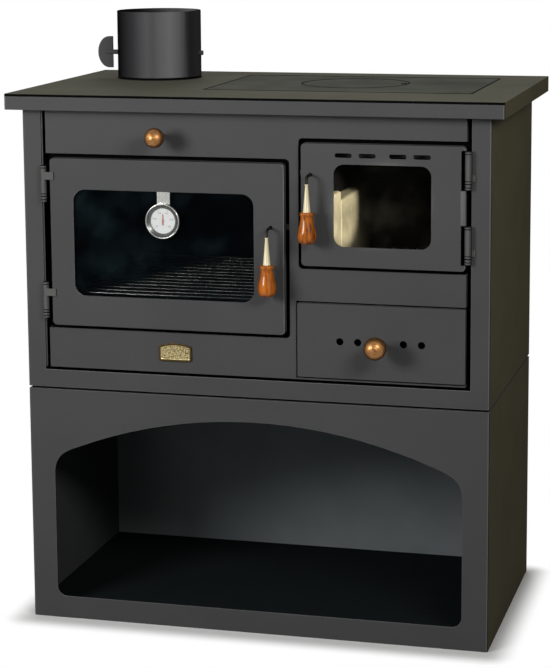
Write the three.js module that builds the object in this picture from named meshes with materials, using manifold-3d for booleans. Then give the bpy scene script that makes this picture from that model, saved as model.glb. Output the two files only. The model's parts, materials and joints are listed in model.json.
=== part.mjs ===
// Wood-burning cookstove on an open wood store, in millimetres, +Z up.
// The front faces -Y. The origin is on the floor, at the middle of the whole outline.
import * as THREE from "three";
import { mergeVertices } from "three/addons/utils/BufferGeometryUtils.js";
import Module from "manifold-3d";

const wasm = await Module();
wasm.setup();

// ---------------------------------------------------------------- driving dimensions
const fit = 0.3; // gap kept between pieces that seat on each other
const running = 0.5; // gap round pieces that turn or slide
const sheet = 2; // casing, plinth, door and drawer sheet

// Casing and plinth
const bodyDepth = 415;
const plinthHeight = 378;
const seamHeight = 3.5; // shadow gap between plinth and casing
const seamRecess = 4; // how far the stove floor stays back in that gap
const plinthFlange = 20; // turned in along the plinth's top and bottom edges
const storeFloorHeight = 18;

// Arched mouth of the wood store
const mouthSide = 41; // steel left standing on each side
const mouthSill = 36;
const mouthLintel = 36.5; // steel above the arch in the middle
const archRise = 54.5; // from where the arch meets its shoulders to its crown
const shoulderRise = 46; // from the straight sides' top to the arch's ends
const shoulderRun = 45; // the shoulders' width
const mouthCorner = 16;

// Worktop
const unitHeight = 468.5; // from the casing's lower edge to the worktop's top
const worktopDrop = 25;
const worktopSheet = 3;
const overhangSide = 22;
const overhangFront = 20;
const overhangBack = 40;

// Hob plate with its round lid
const hobWidth = 430;
const hobDepth = 285;
const hobFromRight = 48.5; // hob cut-out to the casing's right side
const hobFromBack = 25;
const hobThickness = 10;
const hobGap = 1.5;
const hobLedge = 10;
const ledgeSheet = 3;
const lidRadius = 86;
const lidThickness = 5;
const lidSeat = 8; // width of the step that the lid lies on
const lidOffsetX = -2.5; // lid's centre from the hob's centre
const lidOffsetY = 14.5;
const lidNotch = 9;

// Flue collar and its damper
const collarRadius = 70.5;
const collarWall = 4;
const collarHeight = 113; // above the worktop
const collarTail = 14; // below the worktop's top face
const collarFlange = 15;
const collarFromLeft = 123.5; // collar's centre from the casing's left side
const collarFromBack = 95;
const damperHeight = 42; // spindle above the worktop
const spindleRadius = 4;
const spindleStub = 6; // length past the collar on the right
const paddleWidth = 26.5;
const paddleHeight = 53;
const paddleGap = 12; // collar to paddle
const plateThickness = 3; // damper, paddle, bypass and baffle plates
const damperEdgeGap = 2.5;

// Front: casing frame, panel behind it, plate that the doors close on
const frameWidth = 30;
const railHeight = 28.5;
const grooveSide = 7.5;
const grooveBottom = 4.5;
const panelSetback = 1;
const panelSheet = 3;
const innerFrontY = 16;
const innerFrontSheet = 3;

// Doors
const doorGap = 6;
const doorProud = 8; // door face in front of the casing front
const doorLip = 11; // depth of the folded edge
const doorCorner = 7;
const ovenDoorWidth = 379;
const ovenDoorDrop = 75; // below the worktop's lower edge
const ovenDoorInset = 8.7; // from the panel's left edge
const columnWidth = 26.3; // between the two doors
const ovenDoorRise = 69.5; // above the panel's lower edge
const fireDoorWidth = 253;
const fireDoorHeight = 189;
const fireDoorDrop = 42.5; // below the worktop's lower edge
const innerInsetHinge = 13;
const ovenInnerInsetHandle = 32;
const ovenInnerInsetEdge = 20;
const fireInnerInsetHandle = 29;
const fireInnerInsetEdge = 10;
const sealWidth = 9;
const sealInset = 1;
const glassThickness = 4;
const glassLap = 7;
const ovenWindow = { left: 38.5, right: 48.5, bottom: 49, top: 49, corner: 19 };
const fireWindow = { left: 51, right: 52, bottom: 31.5, top: 31.5, corner: 16 };
const slotCount = 4;
const slotLength = 26.5;
const slotHeight = 6.8;
const slotDrop = 18; // below the fire door's top edge
const slotPitch = 36.8;
const slotSplit = 10.2; // extra space between the two middle slots

// Hinges
const barrelRadius = 5.5;
const pinRadius = 2.5;
const barrelLength = 58;
const shortKnuckle = 9;
const hingeY = -4;
const ovenHingeOffset = 2.2; // outside the panel's edge
const fireHingeOffset = 3.5;
const ovenHingeUpper = 12.6; // barrel's top below the door's top
const ovenHingeLower = 10.5; // barrel's foot above the door's foot
const fireHingeUpper = 7.7;
const fireHingeLower = 10.4;
const tabHeight = 12;
const tabSheet = 2;

// Door handles: a cranked rod, a pale cone and a turned wooden grip
const rodRadius = 2.6;
const handleReach = 23; // rod and grip in front of the door face
const handleBend = 7;
const rodDrop = 11.5;
const ferruleLength = 42.5;
const ferruleTop = 2.7;
const ferruleFoot = 5.8;
const gripLength = 48;
const gripShoulder = 12.5;
const gripWaist = 11;
const gripBelly = 14.4;
const ovenHandleInset = 21.7; // from the door's right edge
const ovenHandleDrop = 99; // below the door's top edge
const fireHandleInset = 15;
const fireHandleDrop = 48.2;
const tongueWidth = 9;
const tongueSheet = 3;

// Thermometer in the oven window
const gaugeRadius = 27.5;
const gaugeDepth = 8;
const gaugeWall = 2;
const gaugeLip = 6;
const gaugeOffset = 1.2; // centre from the middle of the window
const gaugeDrop = 45; // centre below the window's top edge
const strapWidth = 21;
const strapSheet = 1.3;

// Oven
const ovenMouthInset = 11; // from the edge of the door's inner frame to the mouth
const linerMargin = 8;
const linerSheet = 2;
const linerGapBack = 20; // oven liner to the back of the casing
const rackHeight = 24; // rack above the oven floor
const rackWire = 2.5;
const rackFrameWire = 3;
const rackWireCount = 12;
const rackRailDepth = 10;
const rackSlide = 1.2;

// Firebox
const shellSheet = 3;
const shellGapLeft = 0.5; // shell outside the fire door's left edge
const shellGapRight = 33; // shell to the casing's right side
const shellGapBack = 16; // shell to the back of the casing
const shellGapTop = 14; // shell to the worktop's top
const shellStep = 91; // lower on the oven side, where the smoke crosses
const brickThickness = 28;
const brickHeight = 118;
const frontBrickHeight = 133;
const frontBrickEnd = 135;
const grateHeight = 12;
const grateLedge = 10;
const grateMargin = 10;
const grateSlots = 8;
const grateSlotWidth = 9;
const fireFloorDrop = 34.8; // firebox floor below the fire door's lower edge
const fireFloorSheet = 6;

// Ash drawer
const drawerOverhang = 8; // drawer wider than the fire door
const drawerHeight = 115.5;
const drawerRise = 5;
const drawerProud = 3;
const drawerLip = 9;
const drawerGap = 2.5;
const drawerCorner = 2;
const drawerHoleRadius = 5.7;
const drawerHoles = [-63.5, -35.5, 35.5, 63.5];
const trayInset = 12;
const trayHeight = 76;
const trayFront = 32;
const trayGapBack = 45; // tray to the back of the casing
const trayWall = 1.5;
const shelfSheet = 3;

// Knobs
const drawerKnobRadius = 17.5;
const drawerKnobReach = 60; // furthest point in front of the casing
const bypassKnobRadius = 15.5;
const bypassKnobReach = 54.5;
const knobNeckRadius = 5;
const bypassOffset = -6.2; // rod from the middle of the oven door
const bypassDrop = 37; // rod below the worktop's lower edge
const bypassRodRadius = 3;
const bypassHoleWidth = 90; // square hole under the collar
const bypassLap = { left: 25, front: 35, back: 15 }; // plate past the hole
const bypassRodSide = 9.5; // plate past the rod's axis
const bypassRodLap = 30; // rod's length on the plate

// Badge place, left bare
const badgeWidth = 53;
const badgeHeight = 29;
const badgeArch = 5;
const badgeSheet = 2.2;
const badgeOffset = 10.3; // centre from the middle of the oven door
const badgeRise = 33; // centre above the panel's lower edge

// ---------------------------------------------------------------- derived places
const panelHalf = (ovenDoorInset + ovenDoorWidth + columnWidth + fireDoorWidth) / 2;
const halfBody = panelHalf + grooveSide + frameWidth;
const insideX = halfBody - sheet - fit;
const backInside = bodyDepth - sheet - fit;
const casingBottom = plinthHeight + seamHeight;
const worktopHeight = casingBottom + unitHeight;
const worktopUnder = worktopHeight - worktopSheet;
const casingTop = worktopUnder - fit;
const worktopLower = worktopHeight - worktopDrop;
const railTop = casingBottom + railHeight;
const panelBottom = railTop + grooveBottom;
const panelBack = panelSetback + panelSheet;
const innerFrontBack = innerFrontY + innerFrontSheet;
const behindFront = innerFrontBack + fit;
const floorBottom = plinthHeight + fit;
const floorTop = casingBottom - fit;
const doorFace = -doorProud;
const doorBackOfFace = doorFace + sheet;

const ovenDoorBottom = panelBottom + ovenDoorRise;
const ovenDoor = frameFrom(-panelHalf + ovenDoorInset, ovenDoorWidth,
  ovenDoorBottom, worktopLower - ovenDoorDrop - ovenDoorBottom);
const fireDoor = frameFrom(
  panelHalf - fireDoorWidth, fireDoorWidth,
  worktopLower - fireDoorDrop - fireDoorHeight, fireDoorHeight);
const drawer = frameFrom(fireDoor.x0 - drawerOverhang, fireDoorWidth + drawerOverhang,
  panelBottom + drawerRise, drawerHeight);
const ovenInner = {
  x0: ovenDoor.x0 + innerInsetHinge, x1: ovenDoor.x1 - ovenInnerInsetHandle,
  z0: ovenDoor.z0 + ovenInnerInsetEdge, z1: ovenDoor.z1 - ovenInnerInsetEdge };
const fireInner = {
  x0: fireDoor.x0 + fireInnerInsetHandle, x1: fireDoor.x1 - innerInsetHinge,
  z0: fireDoor.z0 + fireInnerInsetEdge, z1: fireDoor.z1 - fireInnerInsetEdge };
const ovenMouth = grow(ovenInner, -ovenMouthInset - sheet / 2);
const fireMouth = grow(fireInner, -ovenMouthInset - sheet / 2);
const ovenHole = windowOf(ovenDoor, ovenWindow);
const fireHole = windowOf(fireDoor, fireWindow);
const innerFrameBack = innerFrontY - fit - 3.2;
const gripY = doorFace - handleReach;
const gaugeX = (ovenHole.x0 + ovenHole.x1) / 2 + gaugeOffset;
const gaugeZ = ovenHole.z1 - gaugeDrop;
const ovenMiddle = (ovenDoor.x0 + ovenDoor.x1) / 2;
const bypassX = ovenMiddle + bypassOffset;
const bypassZ = worktopLower - bypassDrop;
const badgeX = ovenMiddle + badgeOffset;
const hob = {
  x0: halfBody - hobFromRight - hobWidth, x1: halfBody - hobFromRight,
  y0: bodyDepth - hobFromBack - hobDepth, y1: bodyDepth - hobFromBack };
const lidX = (hob.x0 + hob.x1) / 2 + lidOffsetX;
const lidY = (hob.y0 + hob.y1) / 2 + lidOffsetY;
const collarX = collarFromLeft - halfBody;
const collarY = bodyDepth - collarFromBack;
const shellLeft = fireDoor.x0 - shellGapLeft;
const shellRight = halfBody - shellGapRight;
const shellBack = bodyDepth - shellGapBack;
const shellTop = worktopHeight - shellGapTop;
const linerBack = bodyDepth - linerGapBack;
const fireFloorTop = fireDoor.z0 - fireFloorDrop;
const originY = (bodyDepth + overhangBack - drawerKnobReach) / 2;

function frameFrom(x0, width, z0, height) {
  return { x0, x1: x0 + width, z0, z1: z0 + height };
}
function grow(r, by) {
  return { x0: r.x0 - by, x1: r.x1 + by, z0: r.z0 - by, z1: r.z1 + by };
}
function windowOf(door, edges) {
  return { x0: door.x0 + edges.left, x1: door.x1 - edges.right,
    z0: door.z0 + edges.bottom, z1: door.z1 - edges.top };
}

// ---------------------------------------------------------------- solid helpers
function solid(geometry) {
  const bare = geometry.index ? geometry.toNonIndexed() : geometry;
  bare.deleteAttribute("normal");
  bare.deleteAttribute("uv");
  const merged = mergeVertices(bare, 1e-4);
  return new wasm.Manifold(new wasm.Mesh({
    numProp: 3,
    vertProperties: new Float32Array(merged.attributes.position.array),
    triVerts: new Uint32Array(merged.index.array),
  }));
}
function box(x0, x1, y0, y1, z0, z1) {
  const g = new THREE.BoxGeometry(x1 - x0, y1 - y0, z1 - z0);
  return solid(g.translate((x0 + x1) / 2, (y0 + y1) / 2, (z0 + z1) / 2));
}
function join(...pieces) {
  return pieces.reduce((a, b) => a.add(b));
}
function cut(body, ...tools) {
  return tools.reduce((a, b) => a.subtract(b), body);
}
// Rounded rectangle as a flat outline.
function outline(x0, x1, y0, y1, r = 0) {
  const s = new THREE.Shape();
  if (r <= 0) {
    s.moveTo(x0, y0).lineTo(x1, y0).lineTo(x1, y1).lineTo(x0, y1).closePath();
    return s;
  }
  s.moveTo(x0 + r, y0).lineTo(x1 - r, y0).absarc(x1 - r, y0 + r, r, -Math.PI / 2, 0);
  s.lineTo(x1, y1 - r).absarc(x1 - r, y1 - r, r, 0, Math.PI / 2);
  s.lineTo(x0 + r, y1).absarc(x0 + r, y1 - r, r, Math.PI / 2, Math.PI);
  s.lineTo(x0, y0 + r).absarc(x0 + r, y0 + r, r, Math.PI, Math.PI * 1.5);
  return s;
}
// An outline in X and Z, made solid from y0 to y1.
function wall(shape, y0, y1, curveSegments = 6) {
  const g = new THREE.ExtrudeGeometry(shape, { depth: y1 - y0, bevelEnabled: false, curveSegments });
  return solid(g.rotateX(Math.PI / 2).translate(0, y1, 0));
}
function wallRect(r, y0, y1, corner = 0) {
  return wall(outline(r.x0, r.x1, r.z0, r.z1, corner), y0, y1);
}
// A round bar from a to b along one axis through (u, v) of the other two.
function bar(axis, radius, a, b, u, v, sides = 16) {
  const g = new THREE.CylinderGeometry(radius, radius, b - a, sides);
  const mid = (a + b) / 2;
  if (axis === "x") return solid(g.rotateZ(Math.PI / 2).translate(mid, u, v));
  if (axis === "y") return solid(g.translate(u, mid, v));
  return solid(g.rotateX(Math.PI / 2).translate(u, v, mid));
}
// A turned piece: points are [radius, height], height along +Z from z.
function turnedUp(points, x, y, z, sides = 24) {
  const profile = points.map(([r, h]) => new THREE.Vector2(r, h));
  return solid(new THREE.LatheGeometry(profile, sides).rotateX(Math.PI / 2).translate(x, y, z));
}
// A turned piece whose axis runs along Y: points are [radius, y], y rising.
function turnedOut(points, x, z, sides = 24) {
  const profile = points.map(([r, y]) => new THREE.Vector2(r, y));
  return solid(new THREE.LatheGeometry(profile, sides).translate(x, 0, z));
}

// ---------------------------------------------------------------- materials
function finish(color, roughness, metalness, opacity = 1) {
  return new THREE.MeshStandardMaterial({
    color, roughness, metalness, opacity, transparent: opacity < 1 });
}
const paint = finish(0x4c4c4d, 0.55, 0.3);
const hobPaint = finish(0x45473f, 0.6, 0.3);
const innerSteel = finish(0x2a2a2b, 0.8, 0.3);
const castIron = finish(0x333334, 0.75, 0.4);
const darkSteel = finish(0x1c1b19, 0.5, 0.7);
const brightSteel = finish(0xc2c2bd, 0.3, 0.9);
const copper = finish(0xb0713c, 0.3, 0.9);
const brass = finish(0xc8a860, 0.4, 0.9);
const ivory = finish(0xe1d2aa, 0.35, 0.2);
const lacquer = finish(0xb8621c, 0.25, 0);
const glass = finish(0x0c0d0f, 0.08, 0, 0.4);
const dialWhite = finish(0xe8e6df, 0.5, 0);
const needleRed = finish(0xc23a34, 0.5, 0);
const rope = finish(0x8d8a80, 0.95, 0);
const firebrick = finish(0xbfb58e, 0.9, 0);

// ---------------------------------------------------------------- assembly
const stove = new THREE.Group();
const front = new THREE.Group(); // its y = 0 is the casing's front face
front.position.y = -originY;
stove.add(front);

function add(name, made, material) {
  const m = made.getMesh();
  const g = new THREE.BufferGeometry();
  g.setAttribute("position", new THREE.BufferAttribute(m.vertProperties, 3));
  g.setIndex(new THREE.BufferAttribute(m.triVerts, 1));
  g.computeVertexNormals();
  const mesh = new THREE.Mesh(g, material);
  mesh.name = name;
  front.add(mesh);
}

function archOutline() {
  const half = halfBody - mouthSide;
  const archHalfChord = half - shoulderRun;
  const mouthCrown = plinthHeight - mouthLintel;
  const archSpring = mouthCrown - archRise;
  const mouthShoulder = archSpring - shoulderRise;
  const archRadius = (archHalfChord ** 2 + archRise ** 2) / (2 * archRise);
  const sweep = Math.asin(archHalfChord / archRadius);
  const s = new THREE.Shape();
  s.moveTo(-half + mouthCorner, mouthSill).lineTo(half - mouthCorner, mouthSill);
  s.absarc(half - mouthCorner, mouthSill + mouthCorner, mouthCorner, -Math.PI / 2, 0);
  s.lineTo(half, mouthShoulder);
  const lead = shoulderRun * 0.45; // pulls the shoulder's curve tangent to both lines
  s.bezierCurveTo(half, mouthShoulder + lead * 1.6, archHalfChord + lead,
    archSpring - lead * Math.tan(sweep), archHalfChord, archSpring);
  s.absarc(0, mouthCrown - archRadius, archRadius, Math.PI / 2 - sweep, Math.PI / 2 + sweep);
  s.bezierCurveTo(-archHalfChord - lead, archSpring - lead * Math.tan(sweep),
    -half, mouthShoulder + lead * 1.6, -half, mouthShoulder);
  s.lineTo(-half, mouthSill + mouthCorner);
  s.absarc(-half + mouthCorner, mouthSill + mouthCorner, mouthCorner, Math.PI, Math.PI * 1.5);
  return s;
}

function makePlinth() {
  const outer = box(-halfBody, halfBody, 0, bodyDepth, 0, plinthHeight);
  const inner = box(-halfBody + sheet, halfBody - sheet, sheet, bodyDepth + 1,
    sheet, plinthHeight - sheet);
  const ends = box(-halfBody + plinthFlange, halfBody - plinthFlange, plinthFlange,
    bodyDepth + 1, -1, plinthHeight + 1);
  add("plinth_wrap", cut(outer, inner, ends, wall(archOutline(), -1, sheet + 1, 10)), paint);
  const backEdge = sheet + fit;
  add("plinth_back", box(-insideX, insideX, bodyDepth - sheet, bodyDepth,
    backEdge, plinthHeight - backEdge), paint);
  add("store_floor", box(-insideX, insideX, backEdge, backInside,
    storeFloorHeight - sheet, storeFloorHeight), paint);
}

function makeCasing() {
  const outer = box(-halfBody, halfBody, 0, bodyDepth, casingBottom, casingTop);
  const inner = box(-halfBody + sheet, halfBody - sheet, sheet, bodyDepth + 1,
    casingBottom - 1, casingTop + 1);
  const opening = box(-halfBody + frameWidth, halfBody - frameWidth, -1, sheet + 1,
    railTop, casingTop + 1);
  add("casing_wrap", cut(outer, inner, opening), paint);
  add("stove_floor", box(-halfBody + seamRecess, halfBody - seamRecess, seamRecess,
    bodyDepth - seamRecess, floorBottom, floorTop), innerSteel);
  add("back_panel", box(-insideX, insideX, bodyDepth - sheet, bodyDepth,
    casingBottom, casingTop), paint);
}

function makeFrontPanel() {
  const lipEnd = innerFrontY - fit;
  const face = box(-panelHalf, panelHalf, panelSetback, panelBack, panelBottom, casingTop);
  const returns = cut(
    box(-panelHalf, panelHalf, panelSetback, lipEnd, panelBottom, casingTop),
    box(-panelHalf + sheet, panelHalf - sheet, panelSetback - 1, lipEnd + 1,
      panelBottom + sheet, casingTop - sheet));
  const past = grooveSide;
  const ovenCut = grow(ovenDoor, doorGap);
  ovenCut.x0 = -panelHalf - past;
  const fireCut = grow(fireDoor, doorGap);
  fireCut.x1 = panelHalf + past;
  const drawerCut = grow(drawer, drawerGap);
  drawerCut.x1 = panelHalf + past;
  const rodHole = bar("y", bypassRodRadius + running, -1, lipEnd + 1, bypassX, bypassZ);
  add("front_panel", cut(join(face, returns),
    wallRect(ovenCut, -1, lipEnd + 1, doorCorner), wallRect(fireCut, -1, lipEnd + 1, doorCorner),
    wallRect(drawerCut, -1, lipEnd + 1), rodHole), paint);
  const badge = new THREE.Shape();
  const half = badgeWidth / 2;
  const low = -badgeHeight / 2;
  const high = badgeHeight / 2 - badgeArch;
  badge.moveTo(-half + badgeArch, low).lineTo(half - badgeArch, low);
  badge.absarc(half - badgeArch, low + badgeArch, badgeArch, -Math.PI / 2, 0).lineTo(half, high);
  badge.quadraticCurveTo(0, high + 2 * badgeArch, -half, high).lineTo(-half, low + badgeArch);
  badge.absarc(-half + badgeArch, low + badgeArch, badgeArch, Math.PI, Math.PI * 1.5);
  const plate = wall(badge, panelSetback - fit - badgeSheet, panelSetback - fit);
  add("badge_plate", plate.translate([badgeX, 0, panelBottom + badgeRise]), brass);
}

function makeInnerFront() {
  const plate = box(-insideX, insideX, innerFrontY, innerFrontBack, casingBottom, casingTop);
  const trayMouth = {
    x0: drawer.x0 + trayInset - 4, x1: drawer.x1 - trayInset + 4,
    z0: drawer.z0 + shelfSheet, z1: drawer.z0 + shelfSheet + 2 * fit + trayHeight + 4 };
  const rodHole = bar("y", bypassRodRadius + running, innerFrontY - 1, innerFrontBack + 1,
    bypassX, bypassZ);
  add("inner_front", cut(plate, wallRect(ovenMouth, innerFrontY - 1, innerFrontBack + 1, doorCorner),
    wallRect(fireMouth, innerFrontY - 1, innerFrontBack + 1, doorCorner),
    wallRect(trayMouth, innerFrontY - 1, innerFrontBack + 1), rodHole), innerSteel);
}

function makeWorktop() {
  const x = halfBody + overhangSide;
  const y0 = -overhangFront;
  const y1 = bodyDepth + overhangBack;
  const hobBottom = worktopHeight - hobThickness;
  const ledgeTop = hobBottom - fit;
  const ledgeBottom = ledgeTop - ledgeSheet;
  const top = cut(box(-x, x, y0, y1, worktopLower, worktopHeight),
    box(-x + worktopSheet, x - worktopSheet, y0 + worktopSheet, y1 - worktopSheet,
      worktopLower - 1, worktopUnder));
  const ledge = box(hob.x0 - ledgeSheet, hob.x1 + ledgeSheet, hob.y0 - ledgeSheet, hob.y1 + ledgeSheet,
    ledgeBottom, worktopUnder + 1);
  add("worktop", cut(join(top, ledge),
    box(hob.x0, hob.x1, hob.y0, hob.y1, ledgeTop, worktopHeight + 1),
    box(hob.x0 + hobLedge, hob.x1 - hobLedge, hob.y0 + hobLedge, hob.y1 - hobLedge,
      ledgeBottom - 1, worktopHeight + 1),
    bar("z", collarRadius + running, worktopLower, worktopHeight + 1, collarX, collarY, 48)),
  hobPaint);

  const lidBottom = worktopHeight - lidThickness;
  add("hob_plate", cut(
    box(hob.x0 + hobGap, hob.x1 - hobGap, hob.y0 + hobGap, hob.y1 - hobGap, hobBottom, worktopHeight),
    bar("z", lidRadius - lidSeat, hobBottom - 1, worktopHeight + 1, lidX, lidY, 48),
    bar("z", lidRadius + running, lidBottom - fit, worktopHeight + 1, lidX, lidY, 48)),
  castIron);
  add("hob_lid", cut(
    bar("z", lidRadius, lidBottom, worktopHeight, lidX, lidY, 48),
    box(lidX + lidRadius - lidNotch, lidX + lidRadius + 1,
      lidY - lidNotch / 2, lidY + lidNotch / 2,
      worktopHeight - lidThickness / 2, worktopHeight + 1)),
  castIron);
}

function makeFlue() {
  const foot = worktopHeight - collarTail;
  const rim = worktopHeight + collarHeight;
  const spindleZ = worktopHeight + damperHeight;
  const bore = collarRadius - collarWall;
  const tube = join(bar("z", collarRadius, foot, rim, collarX, collarY, 48),
    bar("z", collarRadius + collarFlange, worktopUnder - fit - worktopSheet, worktopUnder - fit,
      collarX, collarY, 48));
  add("flue_collar", cut(tube, bar("z", bore, foot - 1, rim + 1, collarX, collarY, 48),
    bar("x", spindleRadius + running, collarX - collarRadius - 1, collarX + collarRadius + 1,
      collarY, spindleZ)), paint);

  const discRadius = bore - damperEdgeGap;
  const paddleEnd = collarX - collarRadius - paddleGap;
  const half = plateThickness / 2;
  const spindle = bar("x", spindleRadius, paddleEnd - paddleWidth / 2,
    collarX + collarRadius + spindleStub, collarY, spindleZ);
  const slot = box(collarX - discRadius - fit, collarX + discRadius + fit,
    collarY - half - fit, collarY + half + fit, spindleZ - 2 * spindleRadius,
    spindleZ + 2 * spindleRadius);
  const flat = paddleEnd;
  const curve = paddleWidth * 0.75;
  const d = new THREE.Shape();
  d.moveTo(flat, spindleZ - paddleHeight / 2).lineTo(flat, spindleZ + paddleHeight / 2);
  d.lineTo(flat - paddleWidth + curve, spindleZ + paddleHeight / 2);
  d.absellipse(flat - paddleWidth + curve, spindleZ, curve, paddleHeight / 2,
    Math.PI / 2, Math.PI * 1.5);
  d.closePath();
  const paddle = wall(d, collarY - half, collarY + half, 12);
  add("damper_spindle", join(cut(spindle, slot), paddle), paint);
  add("damper_disc", bar("y", discRadius, collarY - half, collarY + half, collarX, spindleZ, 36),
    castIron);
}

function makeOven() {
  const inner = grow(ovenMouth, linerMargin);
  const outer = grow(inner, linerSheet);
  const shell = cut(wallRect(outer, behindFront, linerBack),
    wallRect(inner, behindFront - 1, linerBack - linerSheet));
  const railZ = inner.z0 + rackHeight - rackFrameWire - fit;
  const rail = (x0, x1) => box(x0, x1, behindFront, linerBack - linerSheet,
    railZ - linerSheet, railZ);
  add("oven_liner", join(shell, rail(inner.x0 - 1, inner.x0 + rackRailDepth),
    rail(inner.x1 - rackRailDepth, inner.x1 + 1)), innerSteel);

  const z = inner.z0 + rackHeight;
  const x0 = inner.x0 + rackSlide + rackFrameWire;
  const x1 = inner.x1 - rackSlide - rackFrameWire;
  const y0 = behindFront + 6;
  const y1 = linerBack - linerSheet - 2 - rackFrameWire;
  const runs = [
    bar("y", rackFrameWire, y0 - rackFrameWire, y1 + rackFrameWire, x0, z, 8),
    bar("y", rackFrameWire, y0 - rackFrameWire, y1 + rackFrameWire, x1, z, 8),
    bar("x", rackFrameWire, x0, x1, y0, z, 8), bar("x", rackFrameWire, x0, x1, y1, z, 8),
    bar("y", rackWire, y0, y1, (x0 + x1) / 2, z - rackWire, 6)];
  for (let i = 1; i <= rackWireCount; i++)
    runs.push(bar("x", rackWire, x0, x1, y0 + (y1 - y0) * i / (rackWireCount + 1), z, 6));
  add("oven_rack", join(...runs), brightSteel);
}

function makeFirebox() {
  const left = shellLeft + shellSheet;
  const right = shellRight - shellSheet;
  const back = shellBack - shellSheet;
  const bottom = floorTop + fit;
  const shelfTop = drawer.z0 + shelfSheet;
  const walls = cut(box(shellLeft, shellRight, behindFront, shellBack, bottom, shellTop),
    box(left, right, behindFront - 1, back, bottom - 1, shellTop + 1),
    box(shellLeft - 1, left + 1, behindFront - 1, back, shellTop - shellStep, shellTop + 1));
  add("firebox_shell", join(walls,
    box(left - 1, right + 1, behindFront, back + 1, shelfTop - shelfSheet, shelfTop)), innerSteel);

  const grateX0 = left + brickThickness + fit + grateMargin;
  const grateX1 = right - brickThickness - fit - grateMargin;
  const grateY0 = behindFront + 5 * grateMargin;
  const grateY1 = back - brickThickness - 2 * grateMargin;
  const floorPlate = box(left + fit, right - fit, behindFront, back - fit,
    fireFloorTop - fireFloorSheet, fireFloorTop);
  add("firebox_floor", cut(floorPlate, box(grateX0 + grateLedge, grateX1 - grateLedge,
    grateY0 + grateLedge, grateY1 - grateLedge, 0, worktopHeight)), castIron);

  const pitch = (grateX1 - grateX0) / (grateSlots + 0.5);
  const slots = [];
  for (let i = 0; i < grateSlots; i++) {
    const x = grateX0 + pitch * (i + 0.75);
    slots.push(box(x - grateSlotWidth / 2, x + grateSlotWidth / 2,
      grateY0 + 2 * grateLedge, grateY1 - 2 * grateLedge, 0, worktopHeight));
  }
  add("fire_grate", cut(box(grateX0, grateX1, grateY0, grateY1, fireFloorTop + fit,
    fireFloorTop + fit + grateHeight), ...slots), castIron);

  const foot = fireFloorTop + fit;
  const backFace = back - fit - brickThickness;
  const sideEnd = backFace - fit;
  const brick = (name, x0, x1, y0, y1, height) =>
    add(name, box(x0, x1, y0, y1, foot, foot + height), firebrick);
  for (const [side, x0, x1] of [["left", left + fit, left + fit + brickThickness],
    ["right", right - fit - brickThickness, right - fit]]) {
    brick("firebrick_" + side + "_front", x0, x1, behindFront, frontBrickEnd, frontBrickHeight);
    brick("firebrick_" + side + "_rear", x0, x1, frontBrickEnd + fit, sideEnd, brickHeight);
  }
  brick("firebrick_back", left + fit, right - fit, backFace, back - fit, brickHeight);
}

function makeBypass() {
  const baffleTop = bypassZ - bypassRodRadius - plateThickness;
  const half = bypassHoleWidth / 2;
  const holeY = collarY + bypassLap.back;
  const baffle = box(-insideX, shellLeft - fit, behindFront, backInside,
    baffleTop - plateThickness, baffleTop);
  add("smoke_baffle", cut(baffle, box(collarX - half, collarX + half, holeY - half,
    holeY + half, 0, worktopHeight)), innerSteel);
  const knobCentre = -bypassKnobReach + bypassKnobRadius;
  const neckEnd = knobCentre + bypassKnobRadius + 10;
  const plateFront = holeY - half - bypassLap.front;
  const plate = box(collarX - half - bypassLap.left, bypassX + bypassRodSide,
    plateFront, holeY + half + bypassLap.back, baffleTop + fit, baffleTop + fit + plateThickness);
  add("bypass_damper", join(plate, bar("y", bypassRodRadius, neckEnd + fit,
    plateFront + bypassRodLap, bypassX, bypassZ)), innerSteel);
  add("bypass_knob", ball(knobCentre, bypassKnobRadius, neckEnd, bypassX, bypassZ), copper);
}

// A ball knob with a neck that runs back to neckEnd.
function ball(centre, radius, neckEnd, x, z) {
  const points = [];
  const steps = 14;
  const last = Math.asin(knobNeckRadius / radius);
  for (let i = 0; i <= steps; i++) {
    const a = (Math.PI - last) * i / steps;
    points.push([radius * Math.sin(a), centre - radius * Math.cos(a)]);
  }
  points[0][0] = 0;
  points.push([knobNeckRadius, neckEnd - 1], [knobNeckRadius - 1, neckEnd], [0, neckEnd]);
  return turnedOut(points, x, z);
}

function makeDrawer() {
  const face = -drawerProud;
  const skin = cut(wallRect(drawer, face, face + drawerLip, drawerCorner),
    wallRect(grow(drawer, -sheet), face + sheet, face + drawerLip + 1));
  const midX = (drawer.x0 + drawer.x1) / 2;
  const midZ = (drawer.z0 + drawer.z1) / 2;
  const holes = drawerHoles.map((dx) =>
    bar("y", drawerHoleRadius, face - 1, face + sheet + 1, midX + dx, midZ, 16));
  add("ash_drawer_front", cut(skin, ...holes), paint);
  const x0 = drawer.x0 + trayInset;
  const x1 = drawer.x1 - trayInset;
  const y0 = face + sheet + fit;
  const y1 = bodyDepth - trayGapBack;
  const z0 = drawer.z0 + shelfSheet + fit;
  add("ash_drawer_tray", cut(box(x0, x1, y0, y1, z0, z0 + trayHeight),
    box(x0 + trayWall, x1 - trayWall, y0 + trayWall, y1 - trayWall, z0 + trayWall,
      z0 + trayHeight + 1),
    box(x0 + trayWall, x1 - trayWall, y0 - 1, y0 + 2 * trayWall, z0 + trayFront,
      z0 + trayHeight + 1)), innerSteel);
  add("drawer_knob", ball(-drawerKnobReach + drawerKnobRadius, drawerKnobRadius,
    face - fit, midX, midZ), copper);
}

// Door skin: a folded tray with its window, open at the back.
function doorSkin(door, hole, corner, ...tools) {
  return cut(wallRect(door, doorFace, doorFace + doorLip, doorCorner),
    wallRect(grow(door, -sheet), doorBackOfFace, doorFace + doorLip + 1, doorCorner - sheet),
    wallRect(hole, doorFace - 1, doorBackOfFace + 1, corner), ...tools);
}
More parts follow.
